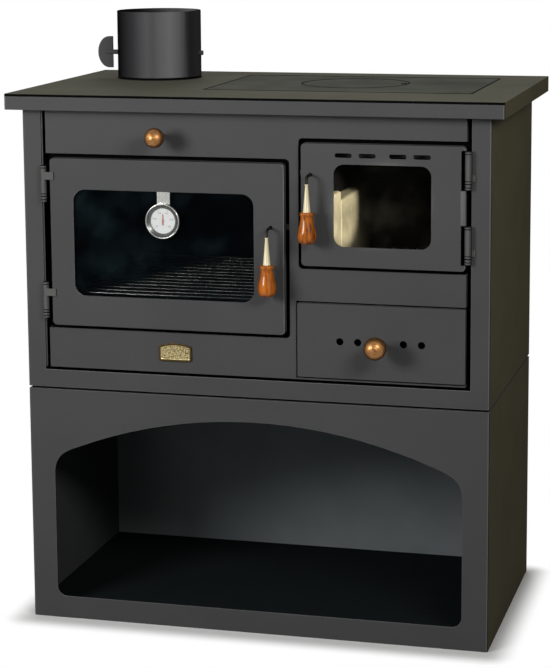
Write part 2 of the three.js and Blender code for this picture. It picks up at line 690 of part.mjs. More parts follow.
// Inner frame: a lip that meets the skin and a back plate that carries the seal.
function doorInner(inner, mouth) {
  const lip = cut(wallRect(inner, doorBackOfFace + fit, innerFrameBack),
    wallRect(grow(inner, -sheet), doorBackOfFace, innerFrameBack - sheet));
  return cut(lip, wallRect(mouth, doorBackOfFace, innerFrameBack + 1, doorCorner));
}
function doorSeal(inner) {
  const ring = grow(inner, -sealInset);
  return cut(wallRect(ring, innerFrameBack + fit, innerFrontY - fit, doorCorner),
    wallRect(grow(ring, -sealWidth), innerFrameBack, innerFrontY, doorCorner));
}

function makeHandle(name, x, z, tongueEnd) {
  const tail = panelBack + fit;
  const path = new THREE.CurvePath();
  const start = new THREE.Vector3(x, tail + tongueSheet + fit, z);
  const bendStart = new THREE.Vector3(x, gripY + handleBend, z);
  const corner = new THREE.Vector3(x, gripY, z);
  const bendEnd = new THREE.Vector3(x, gripY, z - handleBend);
  const end = new THREE.Vector3(x, gripY, z - rodDrop);
  path.add(new THREE.LineCurve3(start, bendStart));
  path.add(new THREE.QuadraticBezierCurve3(bendStart, corner, bendEnd));
  path.add(new THREE.LineCurve3(bendEnd, end));
  const section = new THREE.Shape();
  section.absarc(0, 0, rodRadius, 0, Math.PI * 2);
  const crank = solid(new THREE.ExtrudeGeometry(section,
    { steps: 24, extrudePath: path, curveSegments: 5, bevelEnabled: false }));
  const tongue = box(Math.min(x - tongueWidth / 2, tongueEnd), Math.max(x + tongueWidth / 2,
    tongueEnd), tail, tail + tongueSheet, z - tongueWidth / 2, z + tongueWidth / 2);
  add(name + "_handle_rod", join(crank, tongue), darkSteel);
  const ferruleZ = z - rodDrop - fit - ferruleLength;
  add(name + "_handle_ferrule", turnedUp([[0, 0], [ferruleFoot, 0], [ferruleFoot, 2],
    [ferruleTop, ferruleLength - 4], [ferruleTop + 0.5, ferruleLength], [0, ferruleLength]],
  x, gripY, ferruleZ, 16), ivory);
  const gripZ = ferruleZ - fit - gripLength;
  const curve = new THREE.SplineCurve([[gripBelly * 0.62, 0], [gripBelly * 0.93, 0.09],
    [gripBelly, 0.25], [gripWaist * 1.07, 0.48], [gripWaist, 0.65], [gripShoulder * 0.95, 0.88],
    [gripShoulder, 0.97]].map(([r, share]) => new THREE.Vector2(r, share * gripLength)));
  const turned = curve.getPoints(18).map((p) => [p.x, p.y]);
  add(name + "_handle_grip", turnedUp([[0, 0], ...turned,
    [gripShoulder - 1.5, gripLength], [0, gripLength]], x, gripY, gripZ, 20), lacquer);
}

// One hinge: the long knuckle above, the short knuckle with the pin below.
function hinge(name, x, top, longSide, shortSide, longTab, shortTab) {
  const foot = top - barrelLength;
  const split = foot + shortKnuckle;
  const long = cut(join(bar("z", barrelRadius, split + fit, top, x, hingeY), longTab(foot, top)),
    bar("z", pinRadius + running, split - 1, top + 1, x, hingeY));
  const short = join(bar("z", barrelRadius, foot, split, x, hingeY),
    bar("z", pinRadius, foot + 1, top - 1, x, hingeY), shortTab(foot, split));
  add(name + "_" + longSide, long, paint);
  add(name + "_" + shortSide, short, paint);
}

function makeOvenDoor() {
  const handleX = ovenDoor.x1 - ovenHandleInset;
  const handleZ = ovenDoor.z1 - ovenHandleDrop;
  const shaftHole = bar("y", rodRadius + running, doorFace - 1, doorBackOfFace + 1,
    handleX, handleZ);
  add("oven_door_skin", doorSkin(ovenDoor, ovenHole, ovenWindow.corner, shaftHole), paint);
  add("oven_door_inner", doorInner(ovenInner, ovenMouth), innerSteel);
  add("oven_door_seal", doorSeal(ovenInner), rope);
  const pane = grow(ovenHole, glassLap);
  const paneY = doorBackOfFace + 2 * fit + strapSheet;
  add("oven_door_glass", wallRect(pane, paneY, paneY + glassThickness, ovenWindow.corner), glass);
  const stripY = paneY + glassThickness + fit;
  const stripHeight = 2 * glassLap - 2;
  for (const [end, z] of [["top", pane.z1], ["bottom", pane.z0]])
    add("oven_glass_strip_" + end, box(ovenInner.x0 + sheet + fit, ovenInner.x1 - sheet - fit,
      stripY, stripY + sheet, z - stripHeight / 2, z + stripHeight / 2), innerSteel);

  const x = -panelHalf - ovenHingeOffset;
  const doorTab = (foot, top) => box(x - 1, ovenDoor.x0 + doorCorner,
    doorFace - fit - tabSheet, doorFace - fit, top - 2 * tabHeight + 2, top - tabHeight + 2);
  const bodyTab = (foot, split) => join(
    box(x - 2, x + 2, hingeY, sheet + fit + tabSheet, foot, split),
    box(-halfBody + frameWidth - tabHeight, x + 2, sheet + fit, sheet + fit + tabSheet,
      foot, split));
  hinge("oven_hinge_upper", x, ovenDoor.z1 - ovenHingeUpper, "leaf", "pin", doorTab, bodyTab);
  hinge("oven_hinge_lower", x, ovenDoor.z0 + ovenHingeLower + barrelLength, "leaf", "pin",
    doorTab, bodyTab);
  makeHandle("oven", handleX, handleZ, ovenDoor.x1 + doorGap - 0.7);
}

function makeThermometer() {
  const back = doorBackOfFace;
  const face = back - gaugeDepth;
  add("thermometer_strap", box(gaugeX - strapWidth / 2, gaugeX + strapWidth / 2,
    back + fit, back + fit + strapSheet, gaugeZ - strapWidth, ovenHole.z1 + 2 * glassLap - 2),
  brightSteel);
  const r = gaugeRadius;
  add("thermometer_case", turnedOut([[0, back - gaugeWall], [r - gaugeWall, back - gaugeWall],
    [r - gaugeWall, face + gaugeWall / 2], [r - gaugeLip, face + gaugeWall / 2],
    [r - gaugeLip, face], [r, face], [r, back], [0, back]], gaugeX, gaugeZ, 32),
  brightSteel);
  const dialFace = back - gaugeWall - fit - 1;
  const dialRadius = r - gaugeWall - fit;
  add("thermometer_dial", bar("y", dialRadius, dialFace, dialFace + 1, gaugeX, gaugeZ, 28),
    dialWhite);
  const needleY = dialFace - fit - 1;
  const length = dialRadius - gaugeLip;
  const needle = new THREE.Shape();
  needle.moveTo(-1.2, -length * 0.3).lineTo(1.2, -length * 0.3).lineTo(0.3, length);
  needle.lineTo(-0.3, length).closePath();
  const pointer = wall(needle, needleY, needleY + 0.8).translate([gaugeX, 0, gaugeZ]);
  add("thermometer_needle", join(pointer,
    bar("y", 2.5, needleY - 0.2, needleY + 1, gaugeX, gaugeZ, 12)), needleRed);
  const lensFront = face + gaugeWall / 2 + fit;
  add("thermometer_lens", bar("y", dialRadius, lensFront, lensFront + 1, gaugeX, gaugeZ, 28),
    glass);
}

function makeFireDoor() {
  const handleX = fireDoor.x0 + fireHandleInset;
  const handleZ = fireDoor.z1 - fireHandleDrop;
  const x = panelHalf + fireHingeOffset;
  const tops = [fireDoor.z1 - fireHingeUpper, fireDoor.z0 + fireHingeLower + barrelLength];
  const notches = tops.map((top) => box(x - barrelRadius - 5, fireDoor.x1 + 1, doorFace - 1,
    doorFace + doorLip + 1, top - barrelLength - 1, top + 1));
  const slots = [];
  for (let i = 0; i < slotCount; i++) {
    const step = i - (slotCount - 1) / 2;
    const sx = (fireDoor.x0 + fireDoor.x1) / 2 + step * slotPitch + Math.sign(step) * slotSplit / 2;
    const sz = fireDoor.z1 - slotDrop;
    slots.push(wall(outline(sx - slotLength / 2, sx + slotLength / 2, sz - slotHeight / 2,
      sz + slotHeight / 2, slotHeight / 2 - 0.1), doorFace - 1, doorBackOfFace + 1, 4));
  }
  const shaftHole = bar("y", rodRadius + running, doorFace - 1, doorBackOfFace + 1,
    handleX, handleZ);
  add("fire_door_skin", doorSkin(fireDoor, fireHole, fireWindow.corner, shaftHole,
    ...notches, ...slots), paint);
  add("fire_door_inner", doorInner(fireInner, fireMouth), innerSteel);
  add("fire_door_seal", doorSeal(fireInner), rope);
  const paneY = doorBackOfFace + fit;
  add("fire_door_glass", wallRect(grow(fireHole, glassLap), paneY, paneY + glassThickness,
    fireWindow.corner), glass);

  const bodyTab = (foot, top) => box(x, halfBody - frameWidth + tabHeight / 2,
    -fit - tabSheet, -fit, foot + shortKnuckle + 3, foot + shortKnuckle + tabHeight + 1);
  const doorTab = (foot, split) => box(fireDoor.x1 - tabHeight, x, doorBackOfFace + fit,
    doorBackOfFace + fit + tabSheet, foot, split);
  ["upper", "lower"].forEach((end, i) =>
    hinge("fire_hinge_" + end, x, tops[i], "leaf", "pin", bodyTab, doorTab));
  makeHandle("fire", handleX, handleZ, fireDoor.x0 - doorGap + 0.7);
}

makePlinth();
makeCasing();
makeFrontPanel();
makeInnerFront();
makeWorktop();
makeFlue();
makeOven();
makeFirebox();
makeBypass();
makeDrawer();
makeOvenDoor();
makeThermometer();
makeFireDoor();

export default stove;
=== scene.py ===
"""Wood-burning cookstove: its finishes and fine shapes, in metres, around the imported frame."""

import json
import math

import bmesh
import bpy
from mathutils import Matrix, Vector


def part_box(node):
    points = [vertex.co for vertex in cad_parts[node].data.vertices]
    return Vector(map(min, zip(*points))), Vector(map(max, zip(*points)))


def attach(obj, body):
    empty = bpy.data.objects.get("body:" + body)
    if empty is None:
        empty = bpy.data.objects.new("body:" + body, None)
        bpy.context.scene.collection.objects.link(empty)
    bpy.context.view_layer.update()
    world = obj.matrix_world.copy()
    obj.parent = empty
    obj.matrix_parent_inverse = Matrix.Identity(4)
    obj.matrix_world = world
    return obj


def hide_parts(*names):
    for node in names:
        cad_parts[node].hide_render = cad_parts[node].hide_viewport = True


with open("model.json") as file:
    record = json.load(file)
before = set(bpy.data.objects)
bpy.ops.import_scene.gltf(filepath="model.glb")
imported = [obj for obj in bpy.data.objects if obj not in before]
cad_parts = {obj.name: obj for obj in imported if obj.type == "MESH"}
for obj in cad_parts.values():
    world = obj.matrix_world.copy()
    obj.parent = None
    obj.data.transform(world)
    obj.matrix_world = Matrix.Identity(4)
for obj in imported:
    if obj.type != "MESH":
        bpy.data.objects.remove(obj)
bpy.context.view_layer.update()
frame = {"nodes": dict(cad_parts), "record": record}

MM = 0.001
NODES = frame["nodes"]
BODY_OF = {
    node: body
    for body, names in frame["record"]["behaviour"]["bodies"].items()
    for node in names
}


# ---------------------------------------------------------------- camera and studio
CAMERA_PLACE = Vector((0.8695, -3.3099, 1.1483))
CAMERA_YAW = math.radians(14.951)
CAMERA_PITCH = math.radians(8.957)
CAMERA_ROLL = math.radians(-0.408)
CAMERA_LENS = 114.87
CAMERA_SHIFT = -0.15

AMBIENT = 0.13  # light that comes evenly from the white room
MIRRORED_ROOM = 0.4  # brightness of the white room in metal
LAMPS = {  # name: (place, what it points at, (width, height), watts, colour)
    "key": ((-1.0, -1.65, 1.14), (-0.1, -0.2, 1.2), (0.6, 0.6), 22.0, (1.0, 1.0, 1.0)),
    "fill": ((1.15, -1.4, 1.45), (0.3, -0.2, 1.6), (0.7, 0.5), 16, (1.0, 0.99, 0.96)),
    "low": ((-0.3, -2.4, 0.2), (0.0, 0.2, 0.13), (0.9, 0.2), 0.05, (0.96, 0.99, 1.0)),
    "back": ((-0.7, 2.2, 2.0), (0, 0, 0.6), (1.4, 1.0), 16, (1.0, 0.98, 0.94)),
}
LOW_SPREAD = 24  # degrees over which the low lamp shines, so that it lights only the store
TORCH_PLACE, TORCH_TARGET = (1.25, -1.75, 1.0), (0.203, -0.2, 0.69)
TORCH_POWER, TORCH_WIDTH = 330, 4.0  # watts, degrees
TORCH_COLOUR, TORCH_BLEND, TORCH_BULB = (1.0, 0.95, 0.85), 0.6, 0.01

FLOOR_REACH = 30
FLOOR_CLEAR_FROM, FLOOR_CLEAR_TO = 0.0, 0.05  # past the stove's foot, where plain white begins
FOOT_HALF = (0.37, 0.21, 0)  # the stove's foot, from its middle
FLOOR_SEEN, FLOOR_BOUNCE = 0.92, 0.22  # the floor's whiteness to the eye, and for bounced light


def add_to_scene(name, data):
    made = bpy.data.objects.new(name, data)
    bpy.context.scene.collection.objects.link(made)
    return made


def make_camera():
    data = bpy.data.cameras.new("camera")
    data.lens = CAMERA_LENS
    data.sensor_width = 36
    data.shift_y = CAMERA_SHIFT
    turn = (
        Matrix.Rotation(CAMERA_YAW, 4, "Z")
        @ Matrix.Rotation(math.pi / 2 - CAMERA_PITCH, 4, "X")
        @ Matrix.Rotation(CAMERA_ROLL, 4, "Z")
    )
    camera = add_to_scene("camera", data)
    camera.matrix_world = Matrix.Translation(CAMERA_PLACE) @ turn
    bpy.context.scene.camera = camera


def add_lamp(name, kind, place, target, power, colour):
    data = bpy.data.lights.new(name, kind)
    data.energy = power
    data.color = colour
    lamp = add_to_scene(name, data)
    lamp.location = place
    lamp.rotation_euler = (Vector(target) - Vector(place)).to_track_quat("-Z", "Y").to_euler()
    return lamp


def make_lamps():
    for name, (place, target, size, power, colour) in LAMPS.items():
        lamp = add_lamp(name, "AREA", place, target, power, colour)
        lamp.visible_camera = False
        lamp.data.shape = "RECTANGLE"
        lamp.data.size, lamp.data.size_y = size
    bpy.data.lights["low"].spread = math.radians(LOW_SPREAD)
    make_torch()


def make_torch():
    """A narrow warm beam that goes in at the fire door's window and lights the left bricks."""
    torch = add_lamp("torch", "SPOT", TORCH_PLACE, TORCH_TARGET, TORCH_POWER, TORCH_COLOUR)
    torch.data.spot_size = math.radians(TORCH_WIDTH)
    torch.data.spot_blend = TORCH_BLEND
    torch.data.shadow_soft_size = TORCH_BULB


def make_world():
    world = bpy.data.worlds.new("white_room")
    bpy.context.scene.world = world
    world.use_nodes = True
    tree = world.node_tree
    tree.nodes.clear()
    strength = spread(tree, seen_by_eye(tree), 0.0, 1.0, AMBIENT, 1.0)
    background = put(tree, "ShaderNodeBackground", {"Color": (1, 1, 1, 1), "Strength": strength})
    put(tree, "ShaderNodeOutputWorld", {"Surface": background.outputs[0]})


def seen_by_eye(tree):
    """1 for rays that show the room straight or through glass, less in metal, 0 for light."""
    path = tree.nodes.new("ShaderNodeLightPath").outputs
    straight = calc(tree, "MAXIMUM", path["Is Camera Ray"], path["Is Transmission Ray"])
    mirrored = calc(tree, "MULTIPLY", path["Is Glossy Ray"], MIRRORED_ROOM)
    return calc(tree, "MAXIMUM", straight, mirrored)


def make_floor():
    """A pale floor that turns into the room's plain white a little way past the stove's foot."""
    bm = bmesh.new()
    bmesh.ops.create_grid(bm, x_segments=1, y_segments=1, size=FLOOR_REACH)
    material, tree, shader = new_material("white_floor")
    seen = seen_by_eye(tree)
    fill(tree, shader.inputs, Roughness=0.9, Specular_IOR_Level=0.0,
         Base_Color=mix(tree, seen, (FLOOR_BOUNCE,) * 3 + (1,), (FLOOR_SEEN,) * 3 + (1,)))
    beside = vectors(tree, "ABSOLUTE", own_place(tree))[0]
    beyond = vectors(tree, "SUBTRACT", beside, FOOT_HALF)[0]
    outside = vectors(tree, "MAXIMUM", beyond, (0, 0, 0))[0]
    far = vectors(tree, "LENGTH", outside)["Value"]
    clear = put(tree, "ShaderNodeMapRange",
                {"Value": far, "From Min": FLOOR_CLEAR_FROM, "From Max": FLOOR_CLEAR_TO},
                interpolation_type="SMOOTHSTEP").outputs["Result"]
    white = put(tree, "ShaderNodeEmission", {"Color": (1, 1, 1, 1), "Strength": 1.0})
    blend = put(tree, "ShaderNodeMixShader", {0: calc(tree, "MULTIPLY", clear, seen),
                                              1: shader.outputs[0], 2: white.outputs[0]})
    output = next(n for n in tree.nodes if n.type == "OUTPUT_MATERIAL")
    tree.links.new(blend.outputs[0], output.inputs["Surface"])
    make_object("floor", bm, material)


# ---------------------------------------------------------------- shader helpers
def give(tree, socket, value):
    """Links the socket to a value that is a socket itself, and sets it to any other."""
    if isinstance(value, bpy.types.NodeSocket):
        tree.links.new(value, socket)
    else:
        socket.default_value = value


def put(tree, kind, inputs=None, **settings):
    """A new node with its settings, and its inputs linked or set."""
    made = tree.nodes.new(kind)
    for key, value in settings.items():
        setattr(made, key, value)
    for key, value in (inputs or {}).items():
        give(tree, made.inputs[key], value)
    return made


def fill(tree, sockets, **values):
    """Links or sets several sockets by name, with _ for each space."""
    for label, value in values.items():
        give(tree, sockets[label.replace("_", " ")], value)


def calc(tree, operation, *values):
    return put(tree, "ShaderNodeMath", dict(enumerate(values)), operation=operation).outputs[0]


def vectors(tree, operation, *values):
    return put(tree, "ShaderNodeVectorMath", dict(enumerate(values)), operation=operation).outputs


def new_material(name):
    material = bpy.data.materials.new(name)
    material.use_nodes = True
    tree = material.node_tree
    tree.nodes.clear()
    shader = tree.nodes.new("ShaderNodeBsdfPrincipled")
    put(tree, "ShaderNodeOutputMaterial", {"Surface": shader.outputs[0]})
    return material, tree, shader


def shade(red, green, blue):
    """A colour as it shows on a screen, 0 to 255, as the shader's own numbers."""
    def linear(c):
        c /= 255
        return c / 12.92 if c <= 0.04045 else ((c + 0.055) / 1.055) ** 2.4
    return (linear(red), linear(green), linear(blue), 1)


def new_group(name, inputs, outputs):
    """A shader group: inputs and outputs are {name: kind}, with kind Color, Float or Vector."""
    tree = bpy.data.node_groups.new(name, "ShaderNodeTree")
    for in_out, sockets in (("INPUT", inputs), ("OUTPUT", outputs)):
        for label, kind in sockets.items():
            tree.interface.new_socket(name=label, in_out=in_out, socket_type="NodeSocket" + kind)
    given = tree.nodes.new("NodeGroupInput").outputs
    result = tree.nodes.new("NodeGroupOutput").inputs
    return tree, given, result


def use_group(tree, group, **values):
    made = tree.nodes.new("ShaderNodeGroup")
    made.node_tree = group
    fill(tree, made.inputs, **values)
    return made.outputs


def own_place(tree):
    return tree.nodes.new("ShaderNodeTexCoord").outputs["Object"]


def along(tree, axis):
    """How far along X, Y or Z a point of the piece lies."""
    return put(tree, "ShaderNodeSeparateXYZ", {0: own_place(tree)}).outputs[axis]


def noise(tree, scale, detail=2.0, stretch=None):
    """Noise over the piece's own place, with each direction stretched by its own factor."""
    place = own_place(tree)
    if stretch is not None:
        place = put(tree, "ShaderNodeMapping", {"Vector": place, "Scale": stretch}).outputs[0]
    made = put(tree, "ShaderNodeTexNoise", {"Vector": place, "Scale": scale, "Detail": detail})
    return made.outputs["Fac"]


def spread(tree, value, low, high, to_low=0.0, to_high=1.0):
    """The value's range from low to high, laid over the range from to_low to to_high."""
    made = put(tree, "ShaderNodeMapRange", {"Value": value, "From Min": low, "From Max": high,
                                            "To Min": to_low, "To Max": to_high})
    return made.outputs["Result"]


def swing(tree, value, amount, reach=0.2):
    """Noise that goes by amount either way of 0, in full where it is reach from its middle."""
    both_ways = spread(tree, value, 0.5 - reach, 0.5 + reach, -1.0, 1.0)
    return calc(tree, "MULTIPLY", both_ways, amount)


def mix(tree, share, a, b):
    return put(tree, "ShaderNodeMix", {0: share, 6: a, 7: b}, data_type="RGBA").outputs[2]


def bumps(tree, height, strength, distance):
    return put(tree, "ShaderNodeBump", {"Strength": strength, "Distance": distance,
                                        "Height": height}).outputs[0]


SKIN = {"Colour": "Color", "Roughness": "Float", "Normal": "Vector"}  # what a finish gives


def group_coat():
    """Satin paint or a cast skin: faint clouds, a fine grain that bumps, and a few dust flecks."""
    tree, given, result = new_group(
        "coat_grain",
        {"Colour": "Color", "Dust": "Color", "Dust Amount": "Float", "Cloud": "Float",
         "Grain Scale": "Float", "Grain Bump": "Float", "Roughness": "Float",
         "Patches": "Float"}, SKIN)
    brightness = calc(tree, "ADD", swing(tree, noise(tree, 7.0, 4.0), given["Cloud"]), 1.0)
    tinted = put(tree, "ShaderNodeVectorMath", {0: given["Colour"], "Scale": brightness},
                 operation="SCALE").outputs["Vector"]
    flecks = calc(tree, "MULTIPLY", spread(tree, noise(tree, 420.0, 1.0), 0.66, 0.76),
                  given["Dust Amount"])
    patches = swing(tree, noise(tree, 19.0, 3.0), given["Patches"])
    fill(tree, result, Colour=mix(tree, flecks, tinted, given["Dust"]),
         Roughness=calc(tree, "ADD", given["Roughness"], patches),
         Normal=bumps(tree, noise(tree, given["Grain Scale"], 3.0), given["Grain Bump"], 0.0004))
    return tree


def group_soot():
    """Black soot that thickens upwards from one height to another, with a ragged edge."""
    tree, given, result = new_group(
        "soot", {"Colour": "Color", "Soot": "Color", "Clean Below": "Float",
                 "Black Above": "Float", "Ragged": "Float", "Film": "Float"},
        {"Colour": "Color"})
    wander = swing(tree, noise(tree, 38.0, 5.0), given["Ragged"], 0.25)
    rise = spread(tree, calc(tree, "ADD", along(tree, "Z"), wander), given["Clean Below"],
                  given["Black Above"])
    film = calc(tree, "MULTIPLY", spread(tree, noise(tree, 60.0, 4.0), 0.45, 0.75),
                given["Film"])
    mask = calc(tree, "MAXIMUM", rise, film)
    fill(tree, result, Colour=mix(tree, mask, given["Colour"], given["Soot"]))
    return tree


def group_brushed():
    """Metal drawn or turned along one direction: fine streaks in colour and gloss."""
    tree, given, result = new_group(
        "brushed", {"Colour": "Color", "Streak Colour": "Color", "Stretch": "Vector",
                    "Streaks": "Float", "Roughness": "Float", "Unevenness": "Float"}, SKIN)
    streaks = noise(tree, 1.0, 3.0, given["Stretch"])
    share = calc(tree, "MULTIPLY", spread(tree, streaks, 0.35, 0.65), given["Streaks"])
    uneven = swing(tree, streaks, given["Unevenness"])
    fill(tree, result, Colour=mix(tree, share, given["Colour"], given["Streak Colour"]),
         Roughness=calc(tree, "ADD", given["Roughness"], uneven),
         Normal=bumps(tree, streaks, 0.08, 0.0002))
    return tree


def group_wood():
    """Straight grain along Z under lacquer, with darker pores and warm light bands."""
    tree, given, result = new_group(
        "wood_grain", {"Light": "Color", "Dark": "Color", "Pores": "Color"}, SKIN)
    bands = noise(tree, 1.0, 3.0, (190.0, 190.0, 22.0))
    fibres = noise(tree, 1.0, 2.0, (1500.0, 1500.0, 60.0))
    body = mix(tree, spread(tree, bands, 0.35, 0.68), given["Light"], given["Dark"])
    pores = spread(tree, fibres, 0.6, 0.72, 0.0, 0.55)
    fill(tree, result, Colour=mix(tree, pores, body, given["Pores"]),
         Roughness=spread(tree, bands, 0.2, 0.8, 0.2, 0.34),
         Normal=bumps(tree, fibres, 0.1, 0.0002))
    return tree


def group_smears():
    """What dries on glass: soft clouds and a few specks."""
    tree, given, result = new_group(
        "smears", {"Clear": "Float", "Dusty": "Float"}, {"Roughness": "Float", "Mask": "Float"})
    clouds = spread(tree, noise(tree, 16.0, 5.0), 0.46, 0.78)
    specks = spread(tree, noise(tree, 300.0, 1.0), 0.68, 0.76, 0.0, 0.5)
    mask = calc(tree, "MAXIMUM", clouds, specks)
    fill(tree, result, Mask=mask,
         Roughness=spread(tree, mask, 0.0, 1.0, given["Clear"], given["Dusty"]))
    return tree


COAT = group_coat()
SOOT = group_soot()
BRUSHED = group_brushed()
WOOD = group_wood()
SMEARS = group_smears()


# ---------------------------------------------------------------- finishes
DUST = (120, 118, 112)


def dress(tree, shader, skin, **fixed):
    """Links a finish's colour, roughness and normal to the shader, and sets its fixed values."""
    fill(tree, shader.inputs, Base_Color=skin["Colour"], Roughness=skin["Roughness"],
         Normal=skin["Normal"], **fixed)


def coated(name, colour, dust=DUST, dust_amount=0.12, cloud=0.05, grain_scale=900.0, bump=0.25,
           roughness=0.8, patches=0.04, gloss=0.02):
    material, tree, shader = new_material(name)
    coat = use_group(tree, COAT, Colour=shade(*colour), Dust=shade(*dust),
                     Dust_Amount=dust_amount, Cloud=cloud, Grain_Scale=grain_scale,
                     Grain_Bump=bump, Roughness=roughness, Patches=patches)
    dress(tree, shader, coat, Specular_IOR_Level=gloss)
    return material


def sooted(name, colour, dust, clean_below, black_above, ragged, film, bump=0.6,
           shade_behind=None):
    """A rough mineral or steel surface in the fire, under soot. Its last argument is the stretch
    along Y over which the surface turns black deeper in, as painted shade."""
    material, tree, shader = new_material(name)
    coat = use_group(tree, COAT, Colour=shade(*colour), Dust=shade(*dust), Dust_Amount=0.5,
                     Cloud=0.1, Grain_Scale=500.0, Grain_Bump=bump, Roughness=0.9, Patches=0.05)
    skin = use_group(tree, SOOT, Colour=coat["Colour"], Soot=shade(22, 21, 20),
                     Clean_Below=clean_below, Black_Above=black_above, Ragged=ragged,
                     Film=film)["Colour"]
    if shade_behind:
        # painted shade: the surface turns black deeper into the firebox
        skin = mix(tree, spread(tree, along(tree, "Y"), *shade_behind), skin, shade(18, 17, 16))
    fill(tree, shader.inputs, Base_Color=skin, Roughness=coat["Roughness"],
         Normal=coat["Normal"], Specular_IOR_Level=0.05)
    return material


def brushed(name, colour, streak, stretch, roughness, streaks=0.5, unevenness=0.06,
            edge=(1, 1, 1, 1), lacquer=0.0):
    """Streaked metal: edge is its tint at a glancing view, lacquer the amount of clear coat."""
    material, tree, shader = new_material(name)
    metal = use_group(tree, BRUSHED, Colour=shade(*colour), Streak_Colour=shade(*streak),
                      Stretch=stretch, Streaks=streaks, Roughness=roughness,
                      Unevenness=unevenness)
    dress(tree, shader, metal, Metallic=1.0, Specular_Tint=edge, Coat_Weight=lacquer,
          Coat_Roughness=0.33)
    return material


def dark_glass(name, tint, haze, veil, smeared, gloss=0.05):
    """Heat-proof glass: veil is how much of what lies behind it is hidden, and smeared how much
    more where it is dusty."""
    material, tree, shader = new_material(name)
    smears = use_group(tree, SMEARS, Clear=0.05, Dusty=0.3)
    mask = smears["Mask"]
    fill(tree, shader.inputs, Base_Color=mix(tree, mask, shade(*tint), shade(*haze)),
         Roughness=smears["Roughness"], Specular_IOR_Level=gloss,
         Alpha=spread(tree, mask, 0.0, 1.0, veil, veil + smeared))
    return material


BANDS_FROM, BANDS_TO = -0.318, -0.177  # the collar's sides along X
# painted highlights and painted shade across the collar, from its left side to its right
PAINTED_LIGHT_AND_SHADE_BANDS = (  # share of the width, grey
    (0.0, 14), (0.09, 18), (0.33, 56), (0.5, 86), (0.58, 82), (0.77, 112), (0.86, 104),
    (0.905, 84), (0.935, 56), (0.955, 44), (1.0, 58))


def rolled(name):
    """Painted pipe whose colour holds painted highlights and painted shade in upright bands across
    X, where the lamps' reflections fall; the bands stay put as the view turns.
    """
    material, tree, shader = new_material(name)
    share = spread(tree, along(tree, "X"), BANDS_FROM, BANDS_TO)
    wander = spread(tree, noise(tree, 1.0, 3.0, (160.0, 160.0, 5.0)), 0.0, 1.0, -0.02, 0.02)
    ramp = put(tree, "ShaderNodeValToRGB", {"Fac": calc(tree, "ADD", share, wander)})
    stops = ramp.color_ramp.elements
    while len(stops) < len(PAINTED_LIGHT_AND_SHADE_BANDS):
        stops.new(0.5)
    for stop, (position, grey) in zip(stops, PAINTED_LIGHT_AND_SHADE_BANDS):
        stop.position = position
        stop.color = shade(grey, grey, grey + 2)
    coat = use_group(tree, COAT, Colour=ramp.outputs["Color"], Dust=shade(*DUST),
                     Dust_Amount=0.1, Cloud=0.04, Grain_Scale=900.0, Grain_Bump=0.2,
                     Roughness=0.6, Patches=0.04)
    dress(tree, shader, coat, Specular_IOR_Level=0.0)
    return material


def lacquered_wood():
    material, tree, shader = new_material("lacquered_wood")
    wood = use_group(tree, WOOD, Light=shade(214, 118, 20), Dark=shade(104, 46, 6),
                     Pores=shade(70, 30, 6))
    dress(tree, shader, wood, Specular_IOR_Level=0.1, Coat_Weight=0.6, Coat_Roughness=0.1)
    return material


def woven_rope():
    """Pale glass-fibre rope, its plaits made by two crossed waves."""
    material, tree, shader = new_material("seal_rope")
    place = own_place(tree)
    plaits = []
    for turn in (math.pi / 4, -math.pi / 4):
        slanted = put(tree, "ShaderNodeMapping", {"Vector": place, "Rotation": (0, turn, 0)})
        wave = put(tree, "ShaderNodeTexWave", {"Vector": slanted.outputs[0], "Scale": 110.0,
                                               "Distortion": 0.6, "Detail": 1.0})
        plaits.append(wave.outputs["Fac"])
    weave = calc(tree, "MAXIMUM", *plaits)
    fill(tree, shader.inputs, Roughness=0.95, Normal=bumps(tree, weave, 0.7, 0.0008),
         Base_Color=mix(tree, weave, shade(92, 90, 84), shade(158, 155, 144)))
    return material


PAINT = coated("satin_paint", (82, 82, 83))
# a lighter copy of the satin paint, a painted highlight on folds, rims and the fire door's bead
FOLD_HIGHLIGHT_PAINT = coated("paint_with_painted_highlight_on_folds", (108, 108, 108), dust_amount=0.2, roughness=0.7,
                    gloss=0.03)
# a lighter copy of the satin paint, a painted highlight on the right side of the doors' rolled edges
ROLL_HIGHLIGHT_PAINT = coated("paint_with_painted_highlight_on_rolls", (142, 142, 141), dust_amount=0.2, roughness=0.7,
                    gloss=0.03)
# a darker copy of the satin paint, painted shade on rolled edges and folds that turn away
FOLD_SHADE_PAINT = coated("paint_with_painted_shade_in_folds", (50, 50, 50), dust_amount=0.1)
# a lighter copy of the paint, a painted highlight on the hinges' barrel fronts and tabs
HINGE_HIGHLIGHT_PAINT = coated("hinge_paint_painted_highlight", (98, 98, 96), dust_amount=0.3, cloud=0.12,
                     grain_scale=500.0, bump=0.4, roughness=0.6, gloss=0.05)
# a darker, warmer copy of the satin paint on the outer sides, as painted shade
SHADED_SIDE_PAINT = coated("side_paint_painted_shade", (90, 85, 67), cloud=0.08)
# a darker copy of the paint on the inner sides, as painted shade inside the wood store
SHADED_INSIDE_PAINT = coated("store_inside_painted_shade", (72, 74, 74), dust_amount=0.08, roughness=0.9,
                      gloss=0.01)
# a lighter copy of the paint on the back of the wood store, as painted light
LIT_BACK_PAINT = coated("store_back_painted_light", (126, 132, 134), dust_amount=0.1, cloud=0.1,
                    roughness=0.9, gloss=0.01)
# a near-black copy of the paint on the wood store's floor, as painted shade
SHADED_FLOOR_PAINT = coated("store_floor_painted_shade", (28, 33, 34), dust_amount=0.1, roughness=0.9,
                     gloss=0.01)
# the collar's paint holds painted highlights and painted shade in upright bands
COLLAR_PAINTED_LIGHT = rolled("collar_painted_light_bands")
